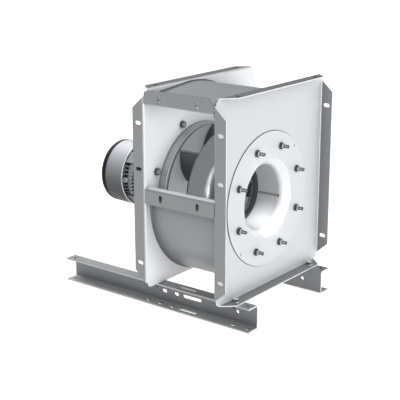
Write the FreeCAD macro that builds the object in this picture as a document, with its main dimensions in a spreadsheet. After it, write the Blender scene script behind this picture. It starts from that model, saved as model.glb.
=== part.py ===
import FreeCAD, Part
import math
import os
import Sketcher

# Smoke extraction fan: a single-inlet centrifugal fan whose impeller sits on the motor shaft.
# Millimetres. +X is to the right seen from the inlet, +Y from the inlet to the motor, +Z up.
# The origin is on the floor under the middle of the base rails. The outlet faces -X.

doc = FreeCAD.newDocument("SmokeFan")
sheet = doc.addObject("Spreadsheet::Sheet", "Sizes")

# Driving dimensions, in millimetres, degrees or pieces
DIMENSIONS = {
    # side plates
    "plate_width": 504,
    "plate_above_shaft": 306,
    "plate_thickness": 3,
    "flange_width": 38,
    "corner_cut": 17,
    "cut_overrun": 1,
    "flange_end_cut": 35,
    "bend_radius": 3,
    "casing_width": 228,
    "slot_width": 11,
    "slot_length": 20,
    "slot_edge": 18,
    "lower_slot_height": 74,
    "outlet_slot_spacing": 124,
    # shaft
    "shaft_offset": 15,
    "shaft_height": 244,
    # scroll
    "wrap_thickness": 2,
    "scroll_left_reach": 212,
    "scroll_bottom_reach": 237,
    "scroll_first_radius": 226,
    "scroll_second_radius": 245,
    "scroll_third_radius": 291,
    "scroll_fourth_radius": 318,
    "runoff_angle": 4.9,
    # outlet braces
    "brace_thickness": 2.5,
    "brace_lip": 26,
    "top_brace_height": 39,
    "mid_brace_height": 41,
    "outlet_height": 226,
    "brace_slot_spacing": 122,
    # inlet nozzle
    "nozzle_thickness": 2.5,
    "nozzle_flange_radius": 185,
    "bell_radius": 111,
    "bell_slope": 45,
    "throat_radius": 90,
    "throat_blend_radius": 22,
    "nozzle_end_radius": 86,
    "nozzle_depth": 90,
    "nozzle_hole_clearance": 4,
    "stud_circle": 295,
    "stud_count": 8,
    "first_bolt_angle": 22.5,
    "stud_reach": 28,
    "thread_runout": 1.5,
    "shank_undersize": 0.5,
    "locating_hole": 4.5,
    "locating_radius": 176.5,
    # fasteners
    "bolt_diameter": 10,
    "bolt_hole": 11,
    "bolt_head_width": 17,
    "bolt_head_height": 6.4,
    "nut_height": 8,
    "washer_diameter": 20,
    "washer_thickness": 2,
    "bolt_tip": 3,
    "fit_gap": 0.05,
    "seat_gap": 0.3,
    # impeller
    "impeller_radius": 177.5,
    "backplate_thickness": 3,
    "outlet_width": 64.5,
    "shroud_thickness": 2.5,
    "shroud_slope": 7.7,
    "shroud_corner_radius": 28,
    "neck_radius": 90.75,
    "nozzle_overlap": 6,
    "blade_count": 7,
    "blade_thickness": 3,
    "blade_radius": 100,
    "blade_centre_distance": 113.5,
    "blade_inner_radius": 95,
    "first_blade_angle": 102.6,
    "rim_overhang": 1,
    # impeller hub
    "hub_flange_radius": 50,
    "hub_flange_thickness": 8,
    "hub_boss_radius": 27,
    "hub_length": 40,
    "rivet_count": 6,
    "rivet_circle": 78,
    "rivet_diameter": 6,
    "rivet_head_diameter": 11,
    "rivet_head_height": 2,
    "end_washer_radius": 18,
    "end_washer_thickness": 4,
    "end_screw_diameter": 8,
    "end_screw_head": 13,
    "end_screw_head_height": 5.3,
    "end_screw_length": 22,
    # motor wall and heat shield
    "motor_plate_radius": 222,
    "motor_plate_thickness": 6,
    "motor_plate_circle": 407,
    "pan_radius": 181,
    "pan_depth": 23.5,
    "pan_thickness": 1.5,
    "pan_hole_radius": 30,
    "service_gap": 3,
    "impeller_rear_gap": 4.5,
    "seal_radius": 44,
    "seal_thickness": 5,
    # shaft and bearings
    "shaft_radius": 12,
    "shaft_end_step": 2,
    "key_start": 5,
    "journal_radius": 12.5,
    "core_seat_radius": 14,
    "fan_seat_radius": 10,
    "key_width": 8,
    "key_height": 7,
    "key_length": 26,
    "key_depth": 4,
    "bearing_radius": 26,
    "bearing_width": 15,
    "inner_ring_wall": 4.5,
    "outer_ring_wall": 4.5,
    "bearing_shield": 1,
    "bearing_set_back": 2,
    "shaft_clearance": 2,
    # motor
    "spigot_radius": 65,
    "spigot_height": 3.5,
    "flange_radius": 100,
    "motor_flange_thickness": 12,
    "neck_outside": 71.5,
    "motor_flange_circle": 165,
    "motor_bolt_count": 4,
    "frame_start": 26,
    "frame_length": 153,
    "frame_bore": 67,
    "frame_radius": 74,
    "fin_radius": 86,
    "fin_thickness": 3.4,
    "fin_count": 48,
    "register_length": 5,
    "stator_start": 58,
    "stator_length": 95,
    "stator_bore": 40.4,
    "winding_length": 20,
    "air_gap": 0.4,
    "end_ring_step": 10,
    "end_ring_length": 9,
    "coil_gap": 3,
    "coil_back_gap": 5,
    "rear_ring_length": 7,
    "rear_shield_length": 31,
    "pad_reach": 88,
    "pad_width": 36,
    "boss_radius": 92.2,
    "boss_width": 14,
    "boss_length": 20,
    "tab_length": 13,
    "tab_angle": 9,
    "tab_screw_place": 6,
    "shield_screw_diameter": 6,
    "shield_screw_head": 10,
    "shield_screw_head_height": 4,
    "shield_screw_circle": 160,
    "shield_screw_reach": 16,
    "cowl_start": 203,
    "cowl_length": 87,
    "cowl_radius": 94,
    "cowl_rear_radius": 91.5,
    "cowl_corner_radius": 12,
    "cowl_thickness": 1.5,
    "grille_inner_radius": 26,
    "grille_outer_radius": 76,
    "grille_slot_width": 5,
    "grille_count": 24,
    "cooling_fan_radius": 78,
    "cooling_fan_start": 230,
    "cooling_fan_length": 24,
    "vane_count": 8,
    "vane_thickness": 2.5,
    "cooling_hub_wall": 8,
    "small_screw": 5,
    "small_head": 9,
    "small_head_height": 3.5,
    # terminal box
    "seat_width": 116,
    "seat_length": 112,
    "seat_height": 88,
    "seat_start": 62,
    "box_width": 104,
    "box_height": 44,
    "box_wall": 4,
    "box_corner": 10,
    "lid_height": 8,
    "lid_overhang": 2,
    "gland_radius": 16,
    "gland_neck_radius": 12,
    "gland_bore_radius": 7,
    "gland_hex_length": 13,
    "gland_length": 26,
    "gland_thread_length": 20,
    "lid_screw_length": 22,
    "board_width": 60,
    "board_length": 44,
    "board_height": 14,
    "terminal_diameter": 5,
    "terminal_pitch": 18,
    "terminal_row_gap": 20,
    "terminal_height": 10,
    # base rails
    "rail_length": 660,
    "rail_front_reach": 72,
    "rail_height": 68,
    "rail_flange": 41,
    "rail_thickness": 4,
    "rail_spacing": 315,
    "rail_hole_offset": 24,
    "rail_end_hole": 18,
    "rail_slot_length": 65,
    "rail_slot_place": 145,
    "rail_oval_place": 200,
    "rail_oval_pitch": 43,
    "rail_web_hole": 9,
    "rail_oval_length": 17,
}


class Size:
    """A number together with the sheet formula that gives it."""

    def __init__(self, value, formula):
        self.value = float(value)
        self.formula = formula

    def __add__(self, other):
        other = as_size(other)
        return Size(self.value + other.value, f"({self.formula} + {other.formula})")

    def __radd__(self, other):
        return as_size(other) + self

    def __sub__(self, other):
        other = as_size(other)
        return Size(self.value - other.value, f"({self.formula} - {other.formula})")

    def __rsub__(self, other):
        return as_size(other) - self

    def __mul__(self, other):
        other = as_size(other)
        return Size(self.value * other.value, f"({self.formula} * {other.formula})")

    def __rmul__(self, other):
        return as_size(other) * self

    def __truediv__(self, other):
        other = as_size(other)
        return Size(self.value / other.value, f"({self.formula} / {other.formula})")

    def __rtruediv__(self, other):
        return as_size(other) / self

    def __neg__(self):
        return Size(-self.value, f"(0 - {self.formula})")


def as_size(number):
    """A plain number as a size."""
    if isinstance(number, Size):
        return number
    return Size(number, repr(float(number)))


def cosine(angle):
    """Cosine of an angle in degrees."""
    return Size(math.cos(math.radians(angle.value)), f"cos({angle.formula})")


def sine(angle):
    """Sine of an angle in degrees."""
    return Size(math.sin(math.radians(angle.value)), f"sin({angle.formula})")


def tangent(angle):
    """Tangent of an angle in degrees."""
    return Size(math.tan(math.radians(angle.value)), f"tan({angle.formula})")


def square_root(number):
    """Square root of a size."""
    return Size(math.sqrt(number.value), f"sqrt({number.formula})")


for row, (name, number) in enumerate(DIMENSIONS.items(), start=1):
    sheet.set(f"A{row}", name.replace("_", " "))
    sheet.set(f"B{row}", repr(number))
    sheet.setAlias(f"B{row}", name)
doc.recompute()


def size(name):
    """One driving dimension of the sheet."""
    return Size(sheet.get(name), f"Sizes.{name}")


def bind(item, prop, amount):
    """Tie a property of an object to the sheet."""
    item.setExpression(prop, as_size(amount).formula)


def place(item, x, y, z):
    """Put an object at a place that follows the sheet."""
    amounts = (as_size(x), as_size(y), as_size(z))
    item.Placement.Base = FreeCAD.Vector(*[amount.value for amount in amounts])
    for axis, amount in zip("xyz", amounts):
        bind(item, f"Placement.Base.{axis}", amount)


def make_body(label, x=0, y=0, z=0):
    """A new body whose label names the piece."""
    body = doc.addObject("PartDesign::Body", label)
    body.Label = label
    place(body, x, y, z)
    return body


def origin_part(body, role):
    """One plane or axis of a body's own origin."""
    for feature in body.Origin.OriginFeatures:
        if feature.Role == role:
            return feature
    raise ValueError(role)


def make_sketch(body, role, level=0):
    """A sketch on an origin plane, moved to a level along the plane's axis of the body."""
    sketch = body.newObject("Sketcher::SketchObject", body.Name + "_sketch")
    sketch.AttachmentSupport = [(origin_part(body, role), "")]
    sketch.MapMode = "FlatFace"
    offset = as_size(level)
    if role == "XZ_Plane":
        offset = -offset
    sketch.AttachmentOffset = FreeCAD.Placement(
        FreeCAD.Vector(0, 0, offset.value), FreeCAD.Rotation())
    bind(sketch, "AttachmentOffset.Base.z", offset)
    return sketch


def arc_between(first, last, radius, turn):
    """The shorter arc between two points; turn is 1 for counterclockwise and -1 for clockwise."""
    run_x = last[0] - first[0]
    run_y = last[1] - first[1]
    chord = math.hypot(run_x, run_y)
    rise = math.sqrt(max(radius * radius - chord * chord / 4, 0))
    centre_x = (first[0] + last[0]) / 2 - turn * rise * run_y / chord
    centre_y = (first[1] + last[1]) / 2 + turn * rise * run_x / chord
    begin, end = (first, last) if turn > 0 else (last, first)
    begin_angle = math.atan2(begin[1] - centre_y, begin[0] - centre_x)
    end_angle = math.atan2(end[1] - centre_y, end[0] - centre_x)
    if end_angle < begin_angle:
        end_angle += 2 * math.pi
    circle = Part.Circle(FreeCAD.Vector(centre_x, centre_y, 0), FreeCAD.Vector(0, 0, 1), radius)
    return Part.ArcOfCircle(circle, begin_angle, end_angle)


def fix_point(sketch, geometry, corner, x, y):
    """Tie one point of a sketch to the sheet."""
    for kind, amount in (("DistanceX", x), ("DistanceY", y)):
        rule = Sketcher.Constraint(kind, -1, 1, geometry, corner, amount.value)
        bind(sketch, f"Constraints[{sketch.addConstraint(rule)}]", amount)


def draw_outline(sketch, steps):
    """Draw a closed outline. A step is (x, y), or (x, y, radius, turn) where an arc leads to it."""
    points = [(as_size(step[0]), as_size(step[1])) for step in steps]
    drawn = []
    for index, step in enumerate(steps):
        first = points[index - 1]
        last = points[index]
        ends = [(first[0].value, first[1].value), (last[0].value, last[1].value)]
        if len(step) == 2:
            edge = Part.LineSegment(FreeCAD.Vector(*ends[0], 0), FreeCAD.Vector(*ends[1], 0))
            drawn.append((sketch.addGeometry(edge, False), 1, 2))
            continue
        radius, turn = as_size(step[2]), step[3]
        edge = arc_between(ends[0], ends[1], radius.value, turn)
        geometry = sketch.addGeometry(edge, False)
        drawn.append((geometry, 1, 2) if turn > 0 else (geometry, 2, 1))
        rule = Sketcher.Constraint("Radius", geometry, radius.value)
        bind(sketch, f"Constraints[{sketch.addConstraint(rule)}]", radius)
    for index, (geometry, start, end) in enumerate(drawn):
        following = drawn[(index + 1) % len(drawn)]
        sketch.addConstraint(
            Sketcher.Constraint("Coincident", geometry, end, following[0], following[1]))
        fix_point(sketch, geometry, end, *points[index])


def draw_rectangle(sketch, left, low, right, high):
    """Draw a rectangle between two corners."""
    draw_outline(sketch, [(left, low), (right, low), (right, high), (left, high)])


def draw_circle(sketch, x, y, radius):
    """Draw a circle about a point."""
    x, y, radius = as_size(x), as_size(y), as_size(radius)
    centre = FreeCAD.Vector(x.value, y.value, 0)
    geometry = sketch.addGeometry(
        Part.Circle(centre, FreeCAD.Vector(0, 0, 1), radius.value), False)
    fix_point(sketch, geometry, 3, x, y)
    rule = Sketcher.Constraint("Radius", geometry, radius.value)
    bind(sketch, f"Constraints[{sketch.addConstraint(rule)}]", radius)


def draw_slot(sketch, x, y, length, width, upright=False):
    """Draw a round-ended slot about a point, lying along the first axis or standing up."""
    x, y = as_size(x), as_size(y)
    end = width / 2
    half = length / 2 - end
    corners = [
        (half, -end), (half + end, as_size(0), end, 1), (half, end, end, 1),
        (-half, end), (-half - end, as_size(0), end, 1), (-half, -end, end, 1)]
    steps = []
    for corner in corners:
        along, across = corner[0], corner[1]
        if upright:
            along, across = -across, along
        steps.append((x + along, y + across) + tuple(corner[2:]))
    draw_outline(sketch, steps)


def finish(body, feature):
    """Make a feature the body's last one."""
    body.Tip = feature
    return feature


def pad(body, sketch, length, reverse=False, both_ways=False):
    """Raise a sketch to a solid."""
    feature = body.newObject("PartDesign::Pad", body.Name + "_pad")
    feature.Profile = sketch
    feature.Length = as_size(length).value
    bind(feature, "Length", length)
    feature.Reversed = reverse
    if both_ways:
        feature.SideType = "Symmetric"
    return finish(body, feature)


def cut_through(body, sketch):
    """Cut a sketch through the whole body, both ways."""
    feature = body.newObject("PartDesign::Pocket", body.Name + "_cut")
    feature.Profile = sketch
    feature.Type = "ThroughAll"
    feature.SideType = "Symmetric"
    return finish(body, feature)


def cut_about(body, sketch, depth):
    """Cut a sketch to a total depth shared by both its sides."""
    feature = body.newObject("PartDesign::Pocket", body.Name + "_cut")
    feature.Profile = sketch
    feature.Length = as_size(depth).value
    bind(feature, "Length", depth)
    feature.SideType = "Symmetric"
    return finish(body, feature)


def turn_solid(body, sketch, groove=False):
    """Turn a profile about the body's Y axis; a groove cuts it away."""
    kind = "PartDesign::Groove" if groove else "PartDesign::Revolution"
    feature = body.newObject(kind, body.Name + "_turned")
    feature.Profile = sketch
    feature.ReferenceAxis = (sketch, ["V_Axis"])
    feature.Angle = 360
    return finish(body, feature)


def repeat_round(body, features, count):
    """Repeat features about the body's Y axis."""
    pattern = body.newObject("PartDesign::PolarPattern", body.Name + "_round")
    pattern.Originals = features
    pattern.Axis = (origin_part(body, "Y_Axis"), [""])
    pattern.Angle = 360
    pattern.Occurrences = int(count.value)
    bind(pattern, "Occurrences", count)
    return finish(body, pattern)


def mirror(body, features, role):
    """Repeat features on the other side of an origin plane."""
    copy = body.newObject("PartDesign::Mirrored", body.Name + "_mirror")
    copy.Originals = features
    copy.MirrorPlane = (origin_part(body, role), [""])
    return finish(body, copy)


def turned_piece(label, profile):
    """A piece turned about the shaft line. The profile holds radii and places along Y."""
    body = make_body(label, shaft_x, 0, shaft_z)
    sketch = make_sketch(body, "XY_Plane")
    draw_outline(sketch, profile)
    turn_solid(body, sketch)
    return body


def holes_round(body, diameter, circle, count, start_angle):
    """Drill a ring of holes along Y about the shaft line."""
    sketch = make_sketch(body, "XZ_Plane")
    reach = circle / 2
    draw_circle(sketch, reach * cosine(start_angle), reach * sine(start_angle), diameter / 2)
    repeat_round(body, [cut_through(body, sketch)], count)


# Places that follow from the driving dimensions
plate_thickness = size("plate_thickness")
rail_height = size("rail_height")
half_width = size("plate_width") / 2
half_height = (size("shaft_height") + size("plate_above_shaft")) / 2
shaft_x = -size("shaft_offset")
shaft_z = rail_height + size("shaft_height")
plate_middle_z = rail_height + half_height
front_face_y = size("rail_front_reach") - size("rail_length") / 2
casing_front_y = front_face_y + plate_thickness
casing_rear_y = casing_front_y + size("casing_width")
rear_plate_back_y = casing_rear_y + plate_thickness
motor_face_y = rear_plate_back_y + size("motor_plate_thickness")
pan_front_y = rear_plate_back_y - size("pan_depth")
backplate_rear_y = pan_front_y - size("impeller_rear_gap")
backplate_front_y = backplate_rear_y - size("backplate_thickness")
nozzle_end_y = front_face_y + size("nozzle_depth")
neck_end_y = nozzle_end_y - size("nozzle_overlap")
stud_circle = size("stud_circle")
stud_count = size("stud_count")
first_bolt_angle = size("first_bolt_angle")
bolt_hole = size("bolt_hole")
slot_width = size("slot_width")
slot_length = size("slot_length")
fit_gap = size("fit_gap")
overrun = size("cut_overrun")
outlet_low_z = rail_height + size("shaft_height") + size("mid_brace_height")
outlet_high_z = outlet_low_z + size("outlet_height")
outlet_middle_z = (outlet_low_z + outlet_high_z) / 2
rail_line_x = size("rail_spacing") / 2 + size("rail_hole_offset")


def folded_edge(sketch, reach, side, depth, upright):
    """Draw the section of one flange and its bend; reach is the flange's outer face."""
    bend = size("bend_radius")
    outer = bend + plate_thickness
    turn = 1 if side > 0 else -1
    steps = [
        (reach - outer, 0), (reach, outer, outer, turn), (reach, depth),
        (reach - plate_thickness, depth), (reach - plate_thickness, outer),
        (reach - outer, plate_thickness, bend, -turn)]
    turned = []
    for step in steps:
        across, along = side * step[0], as_size(step[1])
        if upright:
            arc = (step[2], -step[3]) if len(step) > 2 else ()
            turned.append((along, across) + arc)
        else:
            turned.append((across, along) + tuple(step[2:]))
    draw_outline(sketch, turned)


def side_plate(label, face_y, facing):
    """A casing side plate with four folded flanges. facing is 1 with the flanges towards +Y.

    The local Y runs from the face at the bends to the flanges' free edges.
    """
    body = make_body(label, 0, face_y, plate_middle_z)
    if facing < 0:
        body.Placement.Rotation = FreeCAD.Rotation(FreeCAD.Vector(0, 0, 1), 180)
    cut = size("corner_cut")
    slope = size("flange_end_cut")
    depth = size("flange_width")
    fold = size("bend_radius") + plate_thickness
    flat_x = half_width - fold
    flat_z = half_height - fold
    near_x = half_width - cut + fold
    near_z = half_height - cut + fold

    flat = make_sketch(body, "XZ_Plane")
    draw_outline(flat, [
        (-near_x, -flat_z), (near_x, -flat_z), (flat_x, -near_z), (flat_x, near_z),
        (near_x, flat_z), (-near_x, flat_z), (-flat_x, near_z), (-flat_x, -near_z)])
    pad(body, flat, plate_thickness, reverse=True)

    upright_flanges = make_sketch(body, "XY_Plane")
    level_flanges = make_sketch(body, "YZ_Plane")
    for side in (-1, 1):
        folded_edge(upright_flanges, half_width, side, depth, False)
        folded_edge(level_flanges, half_height, side, depth, True)
    pad(body, upright_flanges, 2 * (half_height - cut), both_ways=True)
    pad(body, level_flanges, 2 * (half_width - cut), both_ways=True)

    # The flanges' ends slope back towards their free edges
    for role, level, reach in (("YZ_Plane", half_width, half_height),
                               ("XY_Plane", half_height, half_width)):
        ends = make_sketch(body, role, level)
        for side in (-1, 1):
            low = side * (reach - cut)
            high = side * (reach + cut)
            tip = side * (reach - cut - slope)
            past = depth + overrun
            corners = [(as_size(0), low), (past, tip), (past, high), (as_size(0), high)]
            if role == "XY_Plane":
                corners = [(across, along) for along, across in corners]
            draw_outline(ends, corners)
        mirror(body, [cut_about(body, ends, 2 * fold)], role)

    # Slots in the flanges: two on each side, and two more round the outlet
    slot_y = depth - size("slot_edge")
    side_slots = make_sketch(body, "YZ_Plane")
    outlet_line = outlet_middle_z - plate_middle_z
    slot_step = size("outlet_slot_spacing") / 2
    for height in (size("lower_slot_height") - half_height, outlet_line + slot_step):
        draw_slot(side_slots, slot_y, height, slot_length, slot_width)
    cut_through(body, side_slots)
    outlet_slot = make_sketch(body, "YZ_Plane", -half_width * facing)
    draw_slot(outlet_slot, slot_y, outlet_line - slot_step, slot_length, slot_width)
    cut_about(body, outlet_slot, 4 * plate_thickness)
    level_slots = make_sketch(body, "XY_Plane")
    for side in (-1, 1):
        draw_slot(level_slots, side * rail_line_x, slot_y, slot_length, slot_width, upright=True)
    cut_through(body, level_slots)
    return body


def front_side_plate():
    """Side plate on the inlet side, with the nozzle's hole and its ring of bolt holes."""
    body = side_plate("front_side_plate", casing_front_y, -1)
    sketch = make_sketch(body, "XZ_Plane")
    centre_x = -shaft_x
    centre_z = shaft_z - plate_middle_z
    draw_circle(sketch, centre_x, centre_z, size("bell_radius") + size("nozzle_hole_clearance"))
    for step in range(int(stud_count.value)):
        angle = first_bolt_angle + step * 360 / stud_count
        draw_circle(sketch, centre_x + stud_circle / 2 * cosine(angle),
                    centre_z + stud_circle / 2 * sine(angle), bolt_hole / 2)
    cut_through(body, sketch)
    return body


def rear_side_plate():
    """Side plate on the motor side, with the opening that the heat shield fills."""
    body = side_plate("rear_side_plate", casing_rear_y, 1)
    sketch = make_sketch(body, "XZ_Plane")
    centre_z = shaft_z - plate_middle_z
    draw_circle(sketch, shaft_x, centre_z, size("pan_radius") + size("service_gap"))
    reach = size("motor_plate_circle") / 2
    for step in range(int(stud_count.value)):
        angle = first_bolt_angle + step * 360 / stud_count
        draw_circle(sketch, shaft_x + reach * cosine(angle),
                    centre_z + reach * sine(angle), bolt_hole / 2)
    cut_through(body, sketch)
    return body


def scroll_wrap():
    """The rolled spiral wall: four tangent arcs of growing radius and a straight run to the outlet."""
    body = make_body("scroll_wrap", shaft_x, casing_front_y, shaft_z)
    wall = size("wrap_thickness")
    radii = [size(f"scroll_{quarter}_radius") for quarter in ("first", "second", "third", "fourth")]
    # Arc centres, each moved so that the next arc carries on smoothly
    first_x = radii[0] - size("scroll_left_reach")
    first_z = radii[0] - size("scroll_bottom_reach")
    second_z = first_z + radii[1] - radii[0]
    third_x = first_x - (radii[2] - radii[1])
    fourth_z = second_z - (radii[3] - radii[2])
    slope = size("runoff_angle")
    lip_top = size("mid_brace_height") - size("brace_thickness")
    outlet_x = -half_width - shaft_x + size("brace_thickness")

    def runoff_height(radius):
        """Where the straight run of one face of the wall meets the outlet."""
        tip_x = third_x - radius * sine(slope)
        tip_z = fourth_z + radius * cosine(slope)
        return tip_z - (tip_x - outlet_x) * tangent(slope)

    outer = radii
    inner = [radius - wall for radius in radii]
    sketch = make_sketch(body, "XZ_Plane")
    draw_outline(sketch, [
        (first_x - outer[0], lip_top),
        (first_x - outer[0], first_z),
        (first_x, first_z - outer[0], outer[0], 1),
        (first_x + outer[1], second_z, outer[1], 1),
        (third_x, second_z + outer[2], outer[2], 1),
        (third_x - outer[3] * sine(slope), fourth_z + outer[3] * cosine(slope), outer[3], 1),
        (outlet_x, runoff_height(outer[3])),
        (outlet_x, runoff_height(inner[3])),
        (third_x - inner[3] * sine(slope), fourth_z + inner[3] * cosine(slope)),
        (third_x, second_z + inner[2], inner[3], -1),
        (first_x + inner[1], second_z, inner[2], -1),
        (first_x, first_z - inner[0], inner[1], -1),
        (first_x - inner[0], first_z, inner[0], -1),
        (first_x - inner[0], lip_top)])
    pad(body, sketch, size("casing_width"), reverse=True)
    return body


def outlet_brace(label, low_z, high_z, lip_at_top, cut_corners):
    """A folded brace across the outlet edge of the casing, with two upright slots."""
    thickness = size("brace_thickness")
    body = make_body(label, -half_width, casing_front_y, low_z)
    tall = high_z - low_z
    lip = size("brace_lip")
    bend = size("bend_radius")
    outer_bend = bend + thickness
    if lip_at_top:
        lip_steps = [
            (thickness, 0), (thickness, tall - outer_bend),
            (outer_bend, tall - thickness, bend, -1), (lip, tall - thickness), (lip, tall),
            (outer_bend, tall), (0, tall - outer_bend, outer_bend, 1), (0, 0)]
    else:
        lip_steps = [
            (lip, 0), (lip, thickness), (outer_bend, thickness),
            (thickness, outer_bend, bend, -1), (thickness, tall), (0, tall),
            (0, outer_bend), (outer_bend, 0, outer_bend, 1)]
    sketch = make_sketch(body, "XZ_Plane")
    draw_outline(sketch, lip_steps)
    width = size("casing_width")
    pad(body, sketch, width, reverse=True)
    slots = make_sketch(body, "YZ_Plane")
    for side in (-1, 1):
        along = width / 2 + side * size("brace_slot_spacing") / 2
        draw_slot(slots, along, tall / 2, slot_length, slot_width, upright=True)
    if cut_corners:
        notch = size("corner_cut")
        past = tall + thickness
        draw_outline(slots, [(-thickness, tall - notch - thickness), (notch + thickness, past),
                             (-thickness, past)])
        draw_outline(slots, [(width + thickness, tall - notch - thickness),
                             (width + thickness, past), (width - notch - thickness, past)])
    cut_about(body, slots, 2 * (thickness + bend))
    return body


def inlet_nozzle():
    """The spun inlet nozzle: a flat flange, a sloping mouth blended into a slightly tapered throat."""
    wall = size("nozzle_thickness")
    mouth = size("bell_radius")
    slope = size("bell_slope")
    throat = size("throat_radius")
    blend = size("throat_blend_radius")
    rim = size("nozzle_flange_radius")
    end = size("nozzle_end_radius")
    front_y = front_face_y - wall
    blend_centre = throat + blend
    slope_end = blend_centre - blend * cosine(slope)
    blend_start_y = front_y + (mouth - slope_end) / tangent(slope)
    throat_y = blend_start_y + blend * sine(slope)
    outer_blend = blend - wall
    outer_end = blend_centre - outer_blend * cosine(slope)
    outer_end_y = throat_y - outer_blend * sine(slope)
    outer_mouth = outer_end + (outer_end_y - front_face_y) * tangent(slope)
    body = turned_piece("inlet_nozzle", [
        (rim, front_y), (rim, front_face_y), (outer_mouth, front_face_y), (outer_end, outer_end_y),
        (throat + wall, throat_y, outer_blend, -1), (end + wall, nozzle_end_y),
        (end, nozzle_end_y), (throat, throat_y), (slope_end, blend_start_y, blend, 1),
        (mouth, front_y)])
    holes_round(body, bolt_hole, stud_circle, stud_count, first_bolt_angle)
    holes_round(body, size("locating_hole"), 2 * size("locating_radius"), as_size(2), as_size(45))
    return body


front_side_plate()
rear_side_plate()
scroll_wrap()
outlet_brace("outlet_top_brace", outlet_high_z, outlet_high_z + size("top_brace_height"), False, True)
outlet_brace("outlet_mid_brace", outlet_low_z - size("mid_brace_height"), outlet_low_z, True, False)
inlet_nozzle()

# Motor wall and heat shield behind the impeller


def motor_mounting_plate():
    """The thick round plate that carries the motor and closes the service opening."""
    body = turned_piece("motor_mounting_plate", [
        (size("spigot_radius") + fit_gap, rear_plate_back_y),
        (size("motor_plate_radius"), rear_plate_back_y),
        (size("motor_plate_radius"), motor_face_y),
        (size("spigot_radius") + fit_gap, motor_face_y)])
    holes_round(body, bolt_hole, size("motor_plate_circle"), stud_count, first_bolt_angle)
    holes_round(body, size("bolt_diameter") + 2 * fit_gap, size("motor_flange_circle"),
                size("motor_bolt_count"), as_size(45))
    return body


def heat_shield_pan():
    """The dished pan that fills the service opening and holds the insulation."""
    wall = size("pan_thickness")
    rim = size("pan_radius")
    hole = size("pan_hole_radius")
    bend = size("bend_radius")
    return turned_piece("heat_shield_pan", [
        (hole, pan_front_y), (rim - bend, pan_front_y), (rim, pan_front_y + bend, bend, 1),
        (rim, rear_plate_back_y), (rim - wall, rear_plate_back_y),
        (rim - wall, pan_front_y + bend),
        (rim - bend, pan_front_y + wall, bend - wall, -1), (hole, pan_front_y + wall)])


def insulation_disc():
    """Mineral wool packed between the pan and the motor plate."""
    gap = size("seat_gap")
    rim = size("pan_radius") - size("bend_radius") - gap
    front_y = pan_front_y + size("pan_thickness") + gap
    return turned_piece("insulation_disc", [
        (size("spigot_radius"), front_y), (rim, front_y),
        (rim, rear_plate_back_y - gap), (size("spigot_radius"), rear_plate_back_y - gap)])


def shaft_seal_disc():
    """A flat disc behind the pan that closes the hole round the shaft."""
    front_y = pan_front_y + size("pan_thickness")
    bore = size("shaft_radius") + size("seat_gap")
    return turned_piece("shaft_seal_disc", [
        (bore, front_y), (size("seal_radius"), front_y),
        (size("seal_radius"), front_y + size("seal_thickness")),
        (bore, front_y + size("seal_thickness"))])


motor_mounting_plate()
heat_shield_pan()
insulation_disc()
shaft_seal_disc()

# Impeller
neck = size("neck_radius")
impeller_radius = size("impeller_radius")
shroud_wall = size("shroud_thickness")
shroud_slope = size("shroud_slope")
shroud_corner = size("shroud_corner_radius")
shroud_rim_y = backplate_front_y - size("outlet_width")
half_turn = (90 - shroud_slope) / 2
flow_corner_y = shroud_rim_y - (impeller_radius - neck) * tangent(shroud_slope)
flow_run = (shroud_corner + shroud_wall) * tangent(half_turn)


def impeller_backplate():
    """The flat disc that carries the blades."""
    bore = size("shaft_radius") + size("shaft_clearance")
    body = turned_piece("impeller_backplate", [
        (bore, backplate_front_y), (impeller_radius, backplate_front_y),
        (impeller_radius, backplate_rear_y), (bore, backplate_rear_y)])
    holes_round(body, size("rivet_diameter") + 2 * fit_gap, size("rivet_circle"),
                size("rivet_count"), as_size(0))
    return body


def impeller_shroud():
    """The curved cover ring that guides the air from the nozzle to the outlet of the blades."""
    slant = shroud_wall / cosine(shroud_slope)
    front_corner_y = flow_corner_y + shroud_wall * tangent(shroud_slope) - slant
    front_run = shroud_corner * tangent(half_turn)
    return turned_piece("impeller_shroud", [
        (impeller_radius, shroud_rim_y),
        (neck + flow_run * cosine(shroud_slope), flow_corner_y + flow_run * sine(shroud_slope)),
        (neck, flow_corner_y - flow_run, shroud_corner + shroud_wall, 1),
        (neck, neck_end_y),
        (neck + shroud_wall, neck_end_y),
        (neck + shroud_wall, front_corner_y - front_run),
        (neck + shroud_wall + front_run * cosine(shroud_slope),
         front_corner_y + front_run * sine(shroud_slope), shroud_corner, -1),
        (impeller_radius, shroud_rim_y - shroud_wall / cosine(shroud_slope))])


def blade_point(radius, reach):
    """Where an arc about the blade's centre crosses a circle about the shaft."""
    distance = size("blade_centre_distance")
    across = (distance * distance + radius * radius - reach * reach) / (2 * distance)
    along = square_root(radius * radius - across * across)
    return distance - across, along


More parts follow.
